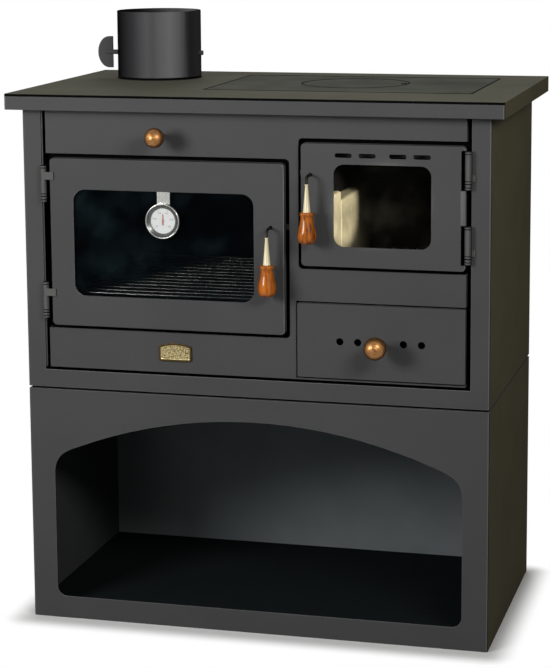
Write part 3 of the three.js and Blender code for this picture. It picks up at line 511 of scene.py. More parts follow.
# a lighter copy of the paint on the worktop's top, as painted light
LIT_TOP_PAINT = coated("worktop_top_painted_light", (110, 110, 97), dust_amount=0.2, cloud=0.08, roughness=0.85)
# near-black used as painted shade on rolled edges, hinge backs and worktop corners, as a painted
# dark reflection along the worktop's front, and for the band at the collar's foot
BLACK_PAINTED_SHADE = coated("black_painted_shade", (9, 9, 9), dust_amount=0.0, gloss=0.03)
CAST_IRON = coated("cast_iron", (92, 94, 86), dust_amount=0.2, cloud=0.24, grain_scale=420.0,
                   bump=0.5, roughness=0.85, patches=0.08)
SOOT_LINE = coated("soot_line", (36, 37, 35), dust_amount=0.05, cloud=0.3, roughness=0.9)
INNER_STEEL = coated("inner_steel", (54, 54, 54), dust_amount=0.1, roughness=0.75, gloss=0.1)
# near-black steel, painted shade in the door gaps and in the seam under the casing
BLACK_SHADE_STEEL = coated("steel_black_as_painted_shade", (10, 10, 10), dust_amount=0.0, roughness=0.9, gloss=0.03)
DARK_STEEL = brushed("dark_rod_steel", (58, 55, 50), (34, 32, 29), (300.0, 300.0, 40.0), 0.4)
OVEN_STEEL = coated("oven_lining", (12, 15, 18), dust_amount=0.1, cloud=0.3, grain_scale=60.0,
                    bump=0.05, gloss=0.05)
BRIGHT_STEEL = brushed("bright_steel", (204, 204, 200), (150, 151, 150), (900.0, 60.0, 60.0),
                       0.28)
BEZEL_STEEL = brushed("bezel_steel", (112, 113, 112), (80, 81, 80), (200.0,) * 3, 0.3)
RACK_STEEL = brushed("rack_wire", (136, 136, 134), (74, 74, 72), (40.0, 400.0, 400.0), 0.3)
COPPER = brushed("polished_copper", (208, 144, 72), (112, 68, 26), (160.0, 900.0, 160.0), 0.4,
                 streaks=0.8, edge=(0.12, 0.06, 0.02, 1), lacquer=1.0)
BRASS = brushed("brass", (96, 80, 46), (52, 42, 22), (300.0,) * 3, 0.36, streaks=0.7,
                unevenness=0.1)
# lighter brass, a painted highlight on the slope inside the badge's rim
BRASS_HIGHLIGHT = brushed("brass_painted_highlight", (226, 208, 158), (180, 156, 104), (300.0,) * 3, 0.3,
                      streaks=0.4)
BRASS_FIELD = brushed("brass_field", (228, 212, 160), (84, 66, 30), (440.0,) * 3, 0.4,
                      streaks=1.0, unevenness=0.15)
IVORY = coated("ivory_ferrule", (240, 226, 186), (190, 168, 120), dust_amount=0.1, bump=0.05,
               roughness=0.2, patches=0.03, gloss=0.5)
LACQUER = lacquered_wood()
OVEN_GLASS = dark_glass("oven_glass", (3, 6, 9), (26, 38, 42), 0.3, 0.4)
FIRE_GLASS = dark_glass("fire_glass", (11, 11, 10), (30, 29, 24), 0.1, 0.3)
LENS_GLASS = dark_glass("gauge_lens", (200, 204, 204), (220, 220, 216), 0.03, 0.05, gloss=0.2)
DIAL_WHITE = coated("dial_white", (236, 239, 238), (176, 178, 176), dust_amount=0.3, bump=0.05,
                    roughness=0.5, gloss=0.2)
DIAL_INK = coated("dial_ink", (140, 138, 136), dust_amount=0.1, bump=0.05, roughness=0.5,
                  gloss=0.5)
NEEDLE_RED = coated("needle_red", (196, 130, 124), (150, 80, 70), dust_amount=0.2, bump=0.05,
                    roughness=0.35, gloss=0.5)
ROPE = woven_rope()
# the clean bricks turn black deeper in as painted shade
BRICK_CLEAN = sooted("firebrick", (242, 230, 190), (204, 186, 144), 0.72, 0.78, 0.01, 0.08,
                     bump=0.4, shade_behind=(0.05, 0.16))
BRICK_SOOTY = sooted("sooty_firebrick", (80, 74, 58), (120, 110, 84), 0.56, 0.66, 0.05, 0.9)
FIRE_STEEL = sooted("firebox_steel", (34, 33, 32), (66, 62, 54), 0.6, 0.8, 0.05, 0.5)


# ---------------------------------------------------------------- mesh helpers
MERGE = 0.002 * MM  # vertices closer than this are one
TOUCH = 10 * MERGE  # a corner this near a face lies in it
FLAT = math.radians(0.6)
SHARP = math.radians(34)
EASED = 0.4 * MM  # ease of a cut sheet edge


def make_object(name, bm, *materials, smooth=SHARP, even=False):
    """An object of the scene from a bmesh, smooth up to an angle. even weighs normals by area."""
    mesh = bpy.data.meshes.new(name)
    bm.to_mesh(mesh)
    bm.free()
    for material in materials:
        mesh.materials.append(material)
    mesh.shade_smooth()
    mesh.set_sharp_from_angle(angle=smooth)
    made = add_to_scene(name, mesh)
    if even:
        weighted = made.modifiers.new("even_normals", "WEIGHTED_NORMAL")
        weighted.keep_sharp = True
        weighted.weight = 80
    return made


def settle(piece, slot, *nodes, body=None):
    """The piece rides with its nodes' body and stands for the nodes, which are hidden; slot is not
    used.
    """
    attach(piece, body or BODY_OF[nodes[0]])
    if nodes:
        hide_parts(*nodes)


def bare_copy(node):
    """The node's shape as clean faces, without its import's own normals."""
    data = NODES[node].data
    bm = bmesh.new()
    corners = [bm.verts.new(v.co) for v in data.vertices]
    for face in data.polygons:
        bm.faces.new([corners[i] for i in face.vertices])
    bmesh.ops.remove_doubles(bm, verts=bm.verts, dist=MERGE)
    bmesh.ops.dissolve_limit(bm, angle_limit=FLAT, verts=bm.verts, edges=bm.edges)
    return bm


def ease(bm, edges, radius, segments):
    if edges:
        bmesh.ops.bevel(bm, geom=edges, offset=radius, offset_type="OFFSET", segments=segments,
                        profile=0.5, affect="EDGES", clamp_overlap=True)


def sharp_edges(bm):
    return [e for e in bm.edges if e.is_manifold and e.calc_face_angle(0) > SHARP]


def finish_node(node, slot, *materials, edge=EASED, folds=None, fold_radius=0.0, split=None,
                paint_by=None):
    """The node with rounded folds and eased edges. folds picks the folded edges by their ends,
    split is a height where faces are parted, and paint_by gives a face its material's number."""
    bm = bare_copy(node)
    if split is not None:
        bmesh.ops.bisect_plane(bm, geom=bm.verts[:] + bm.edges[:] + bm.faces[:],
                               plane_co=(0, 0, split), plane_no=(0, 0, 1))
    if folds:
        ease(bm, [e for e in sharp_edges(bm) if folds(*(v.co for v in e.verts))], fold_radius, 5)
    ease(bm, sharp_edges(bm), edge, 2)
    if paint_by:
        bm.normal_update()
        for face in bm.faces:
            face.material_index = paint_by(face)
    settle(make_object(node + "_finished", bm, *materials, even=True), slot, node)


def front_fold(node, reach=2.5 * MM):
    """Picks the edges that run round the front of a folded tray such as a door skin."""
    low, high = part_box(node)

    def picked(a, b):
        return all(
            abs(p.y - low.y) < TOUCH
            and min(p.x - low.x, high.x - p.x, p.z - low.z, high.z - p.z) < reach
            for p in (a, b))
    return picked


def corner_fold(node, ends=("front",)):
    """Picks the upright edges at the outer corners of a wrapped sheet."""
    low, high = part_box(node)
    depths = [low.y if end == "front" else high.y for end in ends]

    def picked(a, b):
        return all(
            min(p.x - low.x, high.x - p.x) < TOUCH
            and min(abs(p.y - y) for y in depths) < TOUCH
            for p in (a, b)) and abs(a.z - b.z) > 1 * MM
    return picked


def absorb(bm, made):
    """Moves all faces of made into bm."""
    copies = {v: bm.verts.new(v.co) for v in made.verts}
    for face in made.faces:
        bm.faces.new([copies[v] for v in face.verts]).material_index = face.material_index
    made.free()


def add_box(bm, low, high, edge=EASED):
    """A plate with eased edges, joined to what bm already holds."""
    made = bmesh.new()
    bmesh.ops.create_cube(made, size=1)
    size = Vector(high) - Vector(low)
    middle = (Vector(high) + Vector(low)) / 2
    for v in made.verts:
        v.co = Vector(c * s for c, s in zip(v.co, size)) + middle
    ease(made, made.edges[:], min(edge, min(size) / 3), 2)
    absorb(bm, made)


def plate(name, finish, low, high, edge, smooth=SHARP):
    bm = bmesh.new()
    add_box(bm, low, high, edge)
    return make_object(name, bm, finish, smooth=smooth)


def angles(count):
    """Equal steps once round a circle."""
    return [2 * math.pi * k / count for k in range(count)]


def add_turned(bm, profile, centre, axis="Z", segments=48, closed=False):
    """A shape turned about Z or Y. profile is [(radius, place along the axis)]; a closed one comes
    back on itself and leaves a bore, an open one starts and ends on the axis."""
    made = bmesh.new()
    upright = axis == "Z"
    rings = []
    for radius, place in profile:
        height = place if upright else -place
        if radius < MERGE:
            rings.append([made.verts.new((0, 0, height))])
        else:
            rings.append([made.verts.new((radius * math.cos(a), radius * math.sin(a), height))
                          for a in angles(segments)])
    pairs = list(zip(rings, rings[1:]))
    if closed:
        pairs.append((rings[-1], rings[0]))
    for lower, upper in pairs:
        for i in range(segments):
            corners = [lower[i % len(lower)], lower[(i + 1) % len(lower)],
                       upper[(i + 1) % len(upper)], upper[i % len(upper)]]
            ring = list(dict.fromkeys(corners))
            if len(ring) > 2:
                made.faces.new(ring)
    bmesh.ops.recalc_face_normals(made, faces=made.faces)
    turn = Matrix.Identity(4) if upright else Matrix.Rotation(math.pi / 2, 4, "X")
    bmesh.ops.transform(made, verts=made.verts, matrix=Matrix.Translation(centre) @ turn)
    absorb(bm, made)


def turned(name, finish, profile, centre, smooth=SHARP, **how):
    bm = bmesh.new()
    add_turned(bm, profile, centre, **how)
    return make_object(name, bm, finish, smooth=smooth)


def arc(centre, radius, start, end, steps):
    """Points of an arc in the plane of (radius, along), angles in degrees from the radius axis."""
    points = []
    for i in range(steps + 1):
        a = math.radians(start + (end - start) * i / steps)
        points.append((centre[0] + radius * math.cos(a), centre[1] + radius * math.sin(a)))
    return points


def skin_rings(bm, rings, closed=False):
    """Faces from each ring of corners to the next, and from the last to the first if closed."""
    for one, two in zip(rings, rings[1:] + (rings[:1] if closed else [])):
        for k in range(len(one)):
            after = (k + 1) % len(one)
            bm.faces.new((one[k], two[k], two[after], one[after]))


def add_tube(bm, path, radius, sides=16):
    """A round rod along points, with flat ends."""
    rings = []
    for i, point in enumerate(path):
        ahead = (path[min(i + 1, len(path) - 1)] - path[max(i - 1, 0)]).normalized()
        across = ahead.cross(Vector((1, 0, 0)))
        if across.length < 0.1:
            across = ahead.cross(Vector((0, 0, 1)))
        across.normalize()
        other = ahead.cross(across)
        rings.append([
            bm.verts.new(point + radius * (math.cos(a) * across + math.sin(a) * other))
            for a in angles(sides)])
    skin_rings(bm, rings)
    bm.faces.new(rings[0])
    bm.faces.new(rings[-1][::-1])


def round_rectangle(x0, x1, z0, z1, corner, steps=8):
    """[(x, z, outward x, outward z)] once round a rectangle with round corners."""
    points = []
    for cx, cz, start in ((x1 - corner, z0 + corner, -90), (x1 - corner, z1 - corner, 0),
                          (x0 + corner, z1 - corner, 90), (x0 + corner, z0 + corner, 180)):
        for i in range(steps + 1):
            a = math.radians(start + 90 * i / steps)
            points.append((cx + corner * math.cos(a), cz + corner * math.sin(a),
                           math.cos(a), math.sin(a)))
    return points


def plain_mesh(piece):
    """The piece's mesh as its modifiers leave it."""
    seen = piece.evaluated_get(bpy.context.evaluated_depsgraph_get())
    return bpy.data.meshes.new_from_object(seen)


# ---------------------------------------------------------------- repeats by Geometry Nodes
def repeat_tree(name, sizes, build):
    """A Geometry Nodes tree that sets one part out in a pattern. build gives points and turn."""
    tree = bpy.data.node_groups.new(name, "GeometryNodeTree")
    keys = {}
    for label, kind in {"Part": "Object", "Finish": "Material", **sizes}.items():
        socket = tree.interface.new_socket(name=label, in_out="INPUT",
                                           socket_type="NodeSocket" + kind)
        keys[label] = socket.identifier
    tree.interface.new_socket(name="Geometry", in_out="OUTPUT",
                              socket_type="NodeSocketGeometry")
    given = tree.nodes.new("NodeGroupInput").outputs
    points, turn = build(tree, given)
    part = put(tree, "GeometryNodeObjectInfo", {"Object": given["Part"]})
    copies = put(tree, "GeometryNodeInstanceOnPoints",
                 {"Points": points, "Instance": part.outputs["Geometry"], "Rotation": turn})
    real = put(tree, "GeometryNodeRealizeInstances", {"Geometry": copies.outputs[0]})
    done = put(tree, "GeometryNodeSetMaterial",
               {"Geometry": real.outputs[0], "Material": given["Finish"]})
    put(tree, "NodeGroupOutput", {0: done.outputs[0]})
    return tree, keys


def points_in_line(tree, count, start, step):
    return put(tree, "GeometryNodeMeshLine",
               {"Count": count, "Start Location": start, "Offset": step}, mode="OFFSET").outputs[0]


def in_a_row(tree, given):
    return points_in_line(tree, given["Count"], given["Start"], given["Step"]), (0, 0, 0)


def in_a_ring(tree, given):
    line = points_in_line(tree, given["Count"], (0, 0, 0), (0, 0, 0))
    index = tree.nodes.new("GeometryNodeInputIndex").outputs[0]
    angle = calc(tree, "ADD", calc(tree, "MULTIPLY", index, given["Step"]), given["Start"])
    across, upward = (calc(tree, "MULTIPLY", calc(tree, wave, angle), given["Radius"])
                      for wave in ("SINE", "COSINE"))
    offset = put(tree, "ShaderNodeCombineXYZ", {"X": across, "Z": upward})
    place = vectors(tree, "ADD", offset.outputs[0], given["Centre"])[0]
    points = put(tree, "GeometryNodeSetPosition", {"Geometry": line, "Position": place})
    turn = put(tree, "ShaderNodeCombineXYZ", {"Y": angle})
    return points.outputs[0], turn.outputs[0]


ROW = repeat_tree("parts_in_a_row", {"Count": "Int", "Start": "Vector", "Step": "Vector"},
                  in_a_row)
RING = repeat_tree("parts_in_a_ring", {"Count": "Int", "Start": "Float", "Step": "Float",
                                       "Radius": "Float", "Centre": "Vector"}, in_a_ring)


def repeated(name, pattern, part, finish, **sizes):
    """A plain mesh object of the part, set out by the pattern. The part itself is used up."""
    tree, keys = pattern
    made = add_to_scene(name, bpy.data.meshes.new(name))
    modifier = made.modifiers.new("pattern", "NODES")
    modifier.node_group = tree
    for label, value in {"Part": part, "Finish": finish, **sizes}.items():
        modifier[keys[label]] = value
    plain = plain_mesh(made)
    made.modifiers.remove(modifier)
    made.data = plain
    plain.name = name
    bpy.data.objects.remove(part)
    return made


def joined(name, *pieces):
    """One object that holds the meshes of several, each with its finishes."""
    bm = bmesh.new()
    finishes = []
    for piece in pieces:
        start = len(bm.faces)
        bm.from_mesh(piece.data)
        bm.faces.ensure_lookup_table()
        for face in bm.faces[start:]:
            finish = piece.data.materials[face.material_index]
            if finish not in finishes:
                finishes.append(finish)
            face.material_index = finishes.index(finish)
        bpy.data.objects.remove(piece)
    return make_object(name, bm, *finishes)


# ---------------------------------------------------------------- casing, plinth and worktop
FIT = 0.3 * MM  # between pieces that touch
FOLD = 2.6 * MM  # outer radius of a folded sheet
SHEET_EDGE = 0.7 * MM  # ease of the casing's cut edges
STILE = 30 * MM  # width of the casing's front beside its opening
LIP = 2.4 * MM  # how far the casing's lip shows beyond the stile
BACK_FOLD = 3 * MM  # how far the fold at the top of the plinth's back reaches down inside it
WORKTOP_EDGE = 4 * MM  # height of the black band under the worktop's top face, a painted dark reflection of its rounded edge
COLLAR_FOOT = 4 * MM  # height of the black band round the collar's foot
HOB_EDGE = 0.8 * MM  # ease of castings and of the collar
LIP_SHEET = 1 * MM

# Parts of a face's normal along an axis, which pick the face's finish
SIDEWAYS, TURNED = 0.97, 0.1  # looks straight to the side, and begins to look that way
SHADE_RIGHT, SHADE_LEFT = 0.6, 0.4  # where painted shade begins on a right and on a left fold
RIM_TILT = 0.3  # looks up or down enough to take a rim's painted highlight
HALFWAY = 0.5
STRAIGHT, FORWARDS, CORNER_DARK = 0.8, 0.2, 0.6  # on the worktop


def on_wrap(face, side):
    """Finish of a wrapped sheet whose outer face lies at side from the middle: 1 on its outer sides
    and 2 on its inner sides, both darker as painted shade, 3 on folds and rims with a painted
    highlight, 4 on folds with painted shade and 0 elsewhere."""
    out = face.normal
    if abs(out.x) > SIDEWAYS:
        return 1 if abs(face.calc_center_median().x) > side - 0.5 * MM else 2
    if out.y > -TURNED:
        return 0
    if abs(out.x) > TURNED:
        return 4 if abs(out.x) > SHADE_RIGHT or out.x < -SHADE_LEFT else 3
    return 3 if abs(out.z) > RIM_TILT else 0


def into_store(face):
    """1 for the faces that look forwards or upwards into the wood store."""
    return int(face.normal.y < -HALFWAY or face.normal.z > HALFWAY)


def make_shell():
    for node in ("plinth_wrap", "casing_wrap"):
        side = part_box(node)[1].x
        # the wraps take painted shade on their sides and folds, and a painted highlight on their
        # folds and rims
        finish_node(node, "paint", PAINT, SHADED_SIDE_PAINT, SHADED_INSIDE_PAINT, FOLD_HIGHLIGHT_PAINT, FOLD_SHADE_PAINT,
                    edge=SHEET_EDGE, folds=corner_fold(node), fold_radius=FOLD,
                    paint_by=lambda face: on_wrap(face, side))
    # inside the wood store the plinth's back is painted lighter as painted light, and the store's
    # floor darker as painted shade
    for node, inside in (("plinth_back", LIT_BACK_PAINT), ("store_floor", SHADED_FLOOR_PAINT),
                         ("back_panel", PAINT)):
        finish_node(node, "paint", PAINT, inside, paint_by=into_store)
    finish_node("front_panel", "paint", PAINT, edge=SHEET_EDGE)
    # the stove's floor is near-black as painted shade in the seam above the plinth
    finish_node("stove_floor", "inner_steel", BLACK_SHADE_STEEL)
    make_lip()
    make_back_fold()
    # the inner front is near-black as painted shade behind the door gaps
    finish_node("inner_front", "inner_steel", BLACK_SHADE_STEEL)


def make_lip():
    """The casing's folded lip, which shows beside the oven door's hinges."""
    low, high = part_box("front_panel")
    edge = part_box("casing_wrap")[0].x + STILE
    lip = plate("casing_lip", PAINT, (edge - LIP_SHEET, low.y + LIP_SHEET, low.z),
                (edge + LIP, low.y + 2 * LIP_SHEET, high.z - 2 * MM), edge=0.3 * MM)
    settle(lip, "paint", body="stove")


def make_back_fold():
    """The plinth's back is stepped in at its top and closes the seam behind the stove's floor."""
    low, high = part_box("plinth_back")
    floor_low, floor_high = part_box("stove_floor")
    fold = plate("plinth_back_fold", PAINT,
                 (floor_low.x, floor_high.y + 0.2 * MM, high.z - BACK_FOLD),
                 (floor_high.x, low.y - FIT, floor_high.z - FIT), edge=0.3 * MM)
    settle(fold, "paint", body="stove")


def make_worktop():
    low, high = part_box("worktop")
    line = high.z - WORKTOP_EDGE

    def coat_of(face):
        """0 on the top, lighter as painted light, and on all that lies inside; 1, black as painted
        shade and a painted dark reflection, along the front's top and on the outer part of its
        corners; 4, a painted highlight, on the rest of those corners; 3 on the sides, darker as
        painted shade; and 2 elsewhere."""
        middle = face.calc_center_median()
        inwards = min(middle.x - low.x, high.x - middle.x, middle.y - low.y, high.y - middle.y)
        out = face.normal
        if out.z > STRAIGHT or inwards > 2 * MM:
            return 0
        if out.y < -FORWARDS and (middle.z > line or abs(out.x) > CORNER_DARK):
            return 1
        if out.y < -FORWARDS and abs(out.x) > TURNED:
            return 4
        return 3 if abs(out.x) > STRAIGHT else 2

    # the worktop takes painted light on its top, painted shade on its sides, and a painted highlight
    # and black painted shade on its front corners
    finish_node("worktop", "hob_paint", LIT_TOP_PAINT, BLACK_PAINTED_SHADE, PAINT, SHADED_SIDE_PAINT, FOLD_HIGHLIGHT_PAINT,
                edge=0.6 * MM, folds=corner_fold("worktop", ("front", "back")),
                fold_radius=FOLD, split=line, paint_by=coat_of)
    for node in ("hob_plate", "hob_lid"):
        finish_node(node, "cast_iron", CAST_IRON, edge=HOB_EDGE)
    make_joints()


JOINT_RISE = 0.5 * MM  # how far a soot line stands above the hob
JOINT_SIDE, JOINT_LONG, JOINT_LID = 2.2 * MM, 3 * MM, 2.4 * MM  # widths of the soot lines
MARK_INSET, MARK_RADIUS = 5.5 * MM, 5 * MM  # the lid's lift mark, from the lid's right edge


def make_joints():
    """Soot lines in the joints round the hob plate and its lid, and the lid's lift mark."""
    low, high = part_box("hob_plate")
    side, long = JOINT_SIDE / 2, JOINT_LONG / 2
    bm = bmesh.new()
    for x in (low.x, high.x):
        add_box(bm, (x - side, low.y, high.z - JOINT_RISE),
                (x + side, high.y, high.z + JOINT_RISE), edge=0.2 * MM)
    for y in (low.y, high.y):
        add_box(bm, (low.x - side, y - long, high.z - JOINT_RISE),
                (high.x + side, y + long, high.z + JOINT_RISE), edge=0.2 * MM)
    settle(make_object("hob_plate_joint", bm, SOOT_LINE), "hob_paint", body="stove")

    low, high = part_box("hob_lid")
    middle = ((low.x + high.x) / 2, (low.y + high.y) / 2, 0)
    inside = (high.x - low.x) / 2 + 0.3 * MM
    outside = inside + JOINT_LID
    foot, top = high.z - JOINT_RISE, high.z + JOINT_RISE
    ring = turned("hob_lid_joint", SOOT_LINE,
                  [(inside, foot), (outside, foot), (outside - 0.2 * MM, top), (inside, top)],
                  middle, segments=72, closed=True)
    settle(ring, "hob_paint", body="stove")
    mark = turned("hob_lid_marks", SOOT_LINE,
                  [(0, -JOINT_RISE), (MARK_RADIUS, -JOINT_RISE), (MARK_RADIUS, 2 * JOINT_RISE),
                   (MARK_RADIUS - 0.4 * MM, 2.6 * JOINT_RISE), (0, 2.6 * JOINT_RISE)],
                  (high.x - MARK_INSET, middle[1], high.z), segments=24)
    settle(mark, "cast_iron", body="hob_lid")


def make_flue():
    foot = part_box("worktop")[1].z + COLLAR_FOOT
    # the collar keeps its painted light bands and is painted black in a band at its foot
    finish_node("flue_collar", "paint", COLLAR_PAINTED_LIGHT, BLACK_PAINTED_SHADE, edge=HOB_EDGE, split=foot,
                paint_by=lambda face: int(face.calc_center_median().z < foot))
    finish_node("damper_spindle", "paint", PAINT, edge=0.6 * MM)
    finish_node("damper_disc", "cast_iron", CAST_IRON)


# ---------------------------------------------------------------- doors and drawer
DOOR_ROLL = 5 * MM  # radius of the rolled edge round a door's face
DRAWER_ROLL = 1.6 * MM
ROLL_BEGINS, ROLL_ENDS = 0.995, 0.1  # a normal's part to the front, from the face to the side
HIGHLIGHT_ENDS, SHADE_BEGINS, SHADE_ENDS = 0.8, 0.95, 0.6  # the same for the roll's painted highlight and its painted shade


def on_roll(face):
    """Finish of a rolled edge: to the right a painted highlight, elsewhere grey painted shade, and
    black painted shade where it turns furthest.
    """
    out = -face.normal.y
    if out > ROLL_BEGINS or out < ROLL_ENDS:
        return 0
    if face.normal.x > TURNED:
        return 1 if out > HIGHLIGHT_ENDS else 3
    if out > SHADE_BEGINS:
        return 0
    return 2 if out > SHADE_ENDS else 3


def make_doors():
    for door, glass in (("oven", OVEN_GLASS), ("fire", FIRE_GLASS)):
        skin = door + "_door_skin"
        # the doors' rolled edges take a painted highlight on the right and painted shade elsewhere
        finish_node(skin, "paint", PAINT, ROLL_HIGHLIGHT_PAINT, FOLD_SHADE_PAINT, BLACK_PAINTED_SHADE, edge=0.6 * MM,
                    folds=front_fold(skin), fold_radius=DOOR_ROLL, paint_by=on_roll)
        finish_node(door + "_door_inner", "inner_steel", INNER_STEEL)
        finish_node(door + "_door_glass", "glass", glass)
        make_seal(door + "_door_seal")
    for end in ("top", "bottom"):
        strip = "oven_glass_strip_" + end
        finish_node(strip, "inner_steel", INNER_STEEL)
        low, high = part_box(strip)
        screw_row(strip + "_screws", strip, 3, 20 * MM, (low.z + high.z) / 2, 2.6 * MM,
                  "oven_door")
    front = "ash_drawer_front"
    # the drawer's rolled edge takes a painted highlight on the right and painted shade elsewhere
    finish_node(front, "paint", PAINT, FOLD_HIGHLIGHT_PAINT, FOLD_SHADE_PAINT, BLACK_PAINTED_SHADE,
                folds=front_fold(front), fold_radius=DRAWER_ROLL, paint_by=on_roll)
    make_door_bead()
    finish_node("ash_drawer_tray", "inner_steel", INNER_STEEL)


DOOR_BEAD = 7 * MM  # width of the half-round between the fire door's hinges
BEAD_FLATNESS = 0.45  # the bead's depth for its width
BEAD_CHAMFER = 0.8 * MM
BEAD_GAP = 1.5 * MM  # from the bead's ends to the hinges


def make_door_bead():
    """The fire door's edge is rolled forward between its hinges, in a lighter paint as a painted
    highlight.
    """
    low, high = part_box("fire_door_skin")
    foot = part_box("fire_hinge_lower_leaf")[1].z + BEAD_GAP
    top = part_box("fire_hinge_upper_pin")[0].z - BEAD_GAP
    wide = DOOR_BEAD / 2
    narrow = wide - BEAD_CHAMFER
    bm = bmesh.new()
    add_turned(bm, [(0, foot), (narrow, foot), (wide, foot + BEAD_CHAMFER),
                    (wide, top - BEAD_CHAMFER), (narrow, top), (0, top)], (0, 0, 0), segments=32)
    for v in bm.verts:
        v.co.y *= BEAD_FLATNESS
    bmesh.ops.translate(bm, verts=bm.verts,
                        vec=Vector((high.x - wide - 1 * MM, low.y + 0.6 * MM, 0)))
    settle(make_object("fire_door_bead", bm, FOLD_HIGHLIGHT_PAINT), "paint", body="fire_door")


SEAL_WIDTH, SEAL_CORNER = 9 * MM, 6 * MM
SEAL_SIDES, SEAL_STEP = 12, 2.2 * MM
SEAL_SQUEEZE = 0.7  # below 1 for a band that is fuller than round
PLAIT_DEPTH, PLAIT_TURN = 0.1, 2.1  # share of the band, and radians from one ring to the next


def make_seal(node):
    """A plaited band that lies in the door's inner frame, its back squeezed round."""
    low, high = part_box(node)
    half_width = SEAL_WIDTH / 2
    half_depth = (high.y - low.y) / 2
    middle = (high.y + low.y) / 2
    path = round_rectangle(low.x + half_width, high.x - half_width, low.z + half_width,
                           high.z - half_width, SEAL_CORNER)
    stations = []
    for one, two in zip(path, path[1:] + path[:1]):
        steps = max(1, round(math.hypot(two[0] - one[0], two[1] - one[1]) / SEAL_STEP))
        for i in range(steps):
            stations.append([a + (b - a) * i / steps for a, b in zip(one, two)])
    bm = bmesh.new()
    rings = []
    for number, (x, z, out_x, out_z) in enumerate(stations):
        ring = []
        for a in angles(SEAL_SIDES):
            plait = 1 - PLAIT_DEPTH * (1 + math.sin(2 * a + number * PLAIT_TURN)) / 2
            across = half_width * math.cos(a) * plait
            squeezed = math.copysign(abs(math.sin(a)) ** SEAL_SQUEEZE, math.sin(a))
            ring.append(bm.verts.new((x + out_x * across, middle + half_depth * squeezed * plait,
                                      z + out_z * across)))
        rings.append(ring)
    skin_rings(bm, rings, closed=True)
    bmesh.ops.recalc_face_normals(bm, faces=bm.faces)
    settle(make_object(node + "_rope", bm, ROPE), "seal_rope", node)


def screw_row(name, node, count, inset, z, radius, body):
    """A row of pan heads across the back of the node at height z, inset from its sides."""
    low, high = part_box(node)
    height = radius * 0.5
    rim = height * 0.4
    dome = [(radius * math.cos(a) ** 0.6, rim + (height - rim) * math.sin(a))
            for a in map(math.radians, (25, 50, 70))]
    head = turned("screw_head", BRIGHT_STEEL,
                  [(0, 0), (radius, 0), (radius, rim)] + dome + [(0, height)], (0, 0, 0),
                  axis="Y", segments=20)
    step = (high.x - low.x - 2 * inset) / (count - 1)
    row = repeated(name, ROW, head, BRIGHT_STEEL, Count=count,
                   Start=Vector((low.x + inset, high.y, z)), Step=Vector((step, 0, 0)))
    settle(row, "bright_steel", body=body)


# ---------------------------------------------------------------- hinges
PIN_CLEARANCE = 0.5 * MM
TAB_SHEET, TAB_HEIGHT, TAB_RAISED = 2 * MM, 10 * MM, 3 * MM  # the stove-side tab by the fire door
BARREL_RADIUS = 5.5 * MM
PIN_RADIUS = 2.5 * MM
SHORT_KNUCKLE = 9 * MM
KNUCKLE_GAP = 0.3 * MM
BARREL_BEAD = 0.7 * MM
BARREL_FRONT, BARREL_BACK = 0.88, 0.5  # cosines of where a barrel's front ends and back begins
BARREL_RING = 4 * MM  # from a barrel's end to the middle of its turned ring
RING_OUTER, RING_INNER = 0.25 * MM, 0.9 * MM  # how far below the barrel a sunk ring's faces lie


def barrel(x, y, foot, top, bore=0):
    """A knuckle as a new bmesh, with a chamfer at each end and a turned ring near them. Its front
    keeps the first finish, a painted highlight, its flanks have the second finish, and its back and
    sunk rings the third, black as painted shade."""
    r, b = BARREL_RADIUS, BARREL_BEAD
    outside = [(r - b, foot), (r, foot + b)]
    for middle in (foot + BARREL_RING, top - BARREL_RING):
        if top - foot > 3 * BARREL_RING or middle < top - BARREL_RING:
            outside += [(r, middle - b), (r - b, middle - 0.5 * b), (r - b, middle + 0.5 * b),
                        (r, middle + b)]
    outside += [(r, top - b), (r - b, top)]
    if bore:
        profile = outside + [(bore, top), (bore, foot)]
    else:
        profile = [(0, foot)] + outside + [(0, top)]
    bm = bmesh.new()
    add_turned(bm, profile, (x, y, 0), segments=28, closed=bore > 0)
    for face in bm.faces:
        middle = face.calc_center_median()
        away = math.hypot(middle.x - x, middle.y - y)
        facing = (y - middle.y) / max(away, MERGE)
        if facing < BARREL_BACK or RING_OUTER < r - away < RING_INNER:
            face.material_index = 2
        elif facing < BARREL_FRONT:
            face.material_index = 1
    return bm


def make_hinges():
    for door in ("oven", "fire"):
        for end in ("upper", "lower"):
            make_hinge(door, f"{door}_hinge_{end}_leaf", f"{door}_hinge_{end}_pin")


def make_hinge(door, leaf, pin):
    """The leaf's long knuckle with its tab, and the short knuckle with the pin and its own tab."""
    leaf_low, leaf_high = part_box(leaf)
    pin_low, pin_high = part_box(pin)
    top = leaf_high.z
    split = pin_low.z + SHORT_KNUCKLE
    if door == "oven":
        x, y = leaf_low.x + BARREL_RADIUS, pin_low.y + BARREL_RADIUS
    else:
        x, y = pin_high.x - BARREL_RADIUS, leaf_low.y + BARREL_RADIUS
    long = barrel(x, y, split + KNUCKLE_GAP, top, PIN_RADIUS + PIN_CLEARANCE)
    short = barrel(x, y, pin_low.z, split)
    add_turned(short, [(0, split), (PIN_RADIUS, split), (PIN_RADIUS, top - 2 * MM),
                       (PIN_RADIUS * 0.6, top - 1 * MM), (0, top - 1 * MM)], (x, y, 0),
               segments=20)
    for node, bm in ((leaf, long), (pin, short)):
        add_tabs(bm, node, x, y, split)
        # barrel fronts and tabs are lighter as a painted highlight; barrel backs and sunk rings are
        # black painted shade
        settle(make_object(node + "_finished", bm, HINGE_HIGHLIGHT_PAINT, PAINT, BLACK_PAINTED_SHADE), "paint", node)


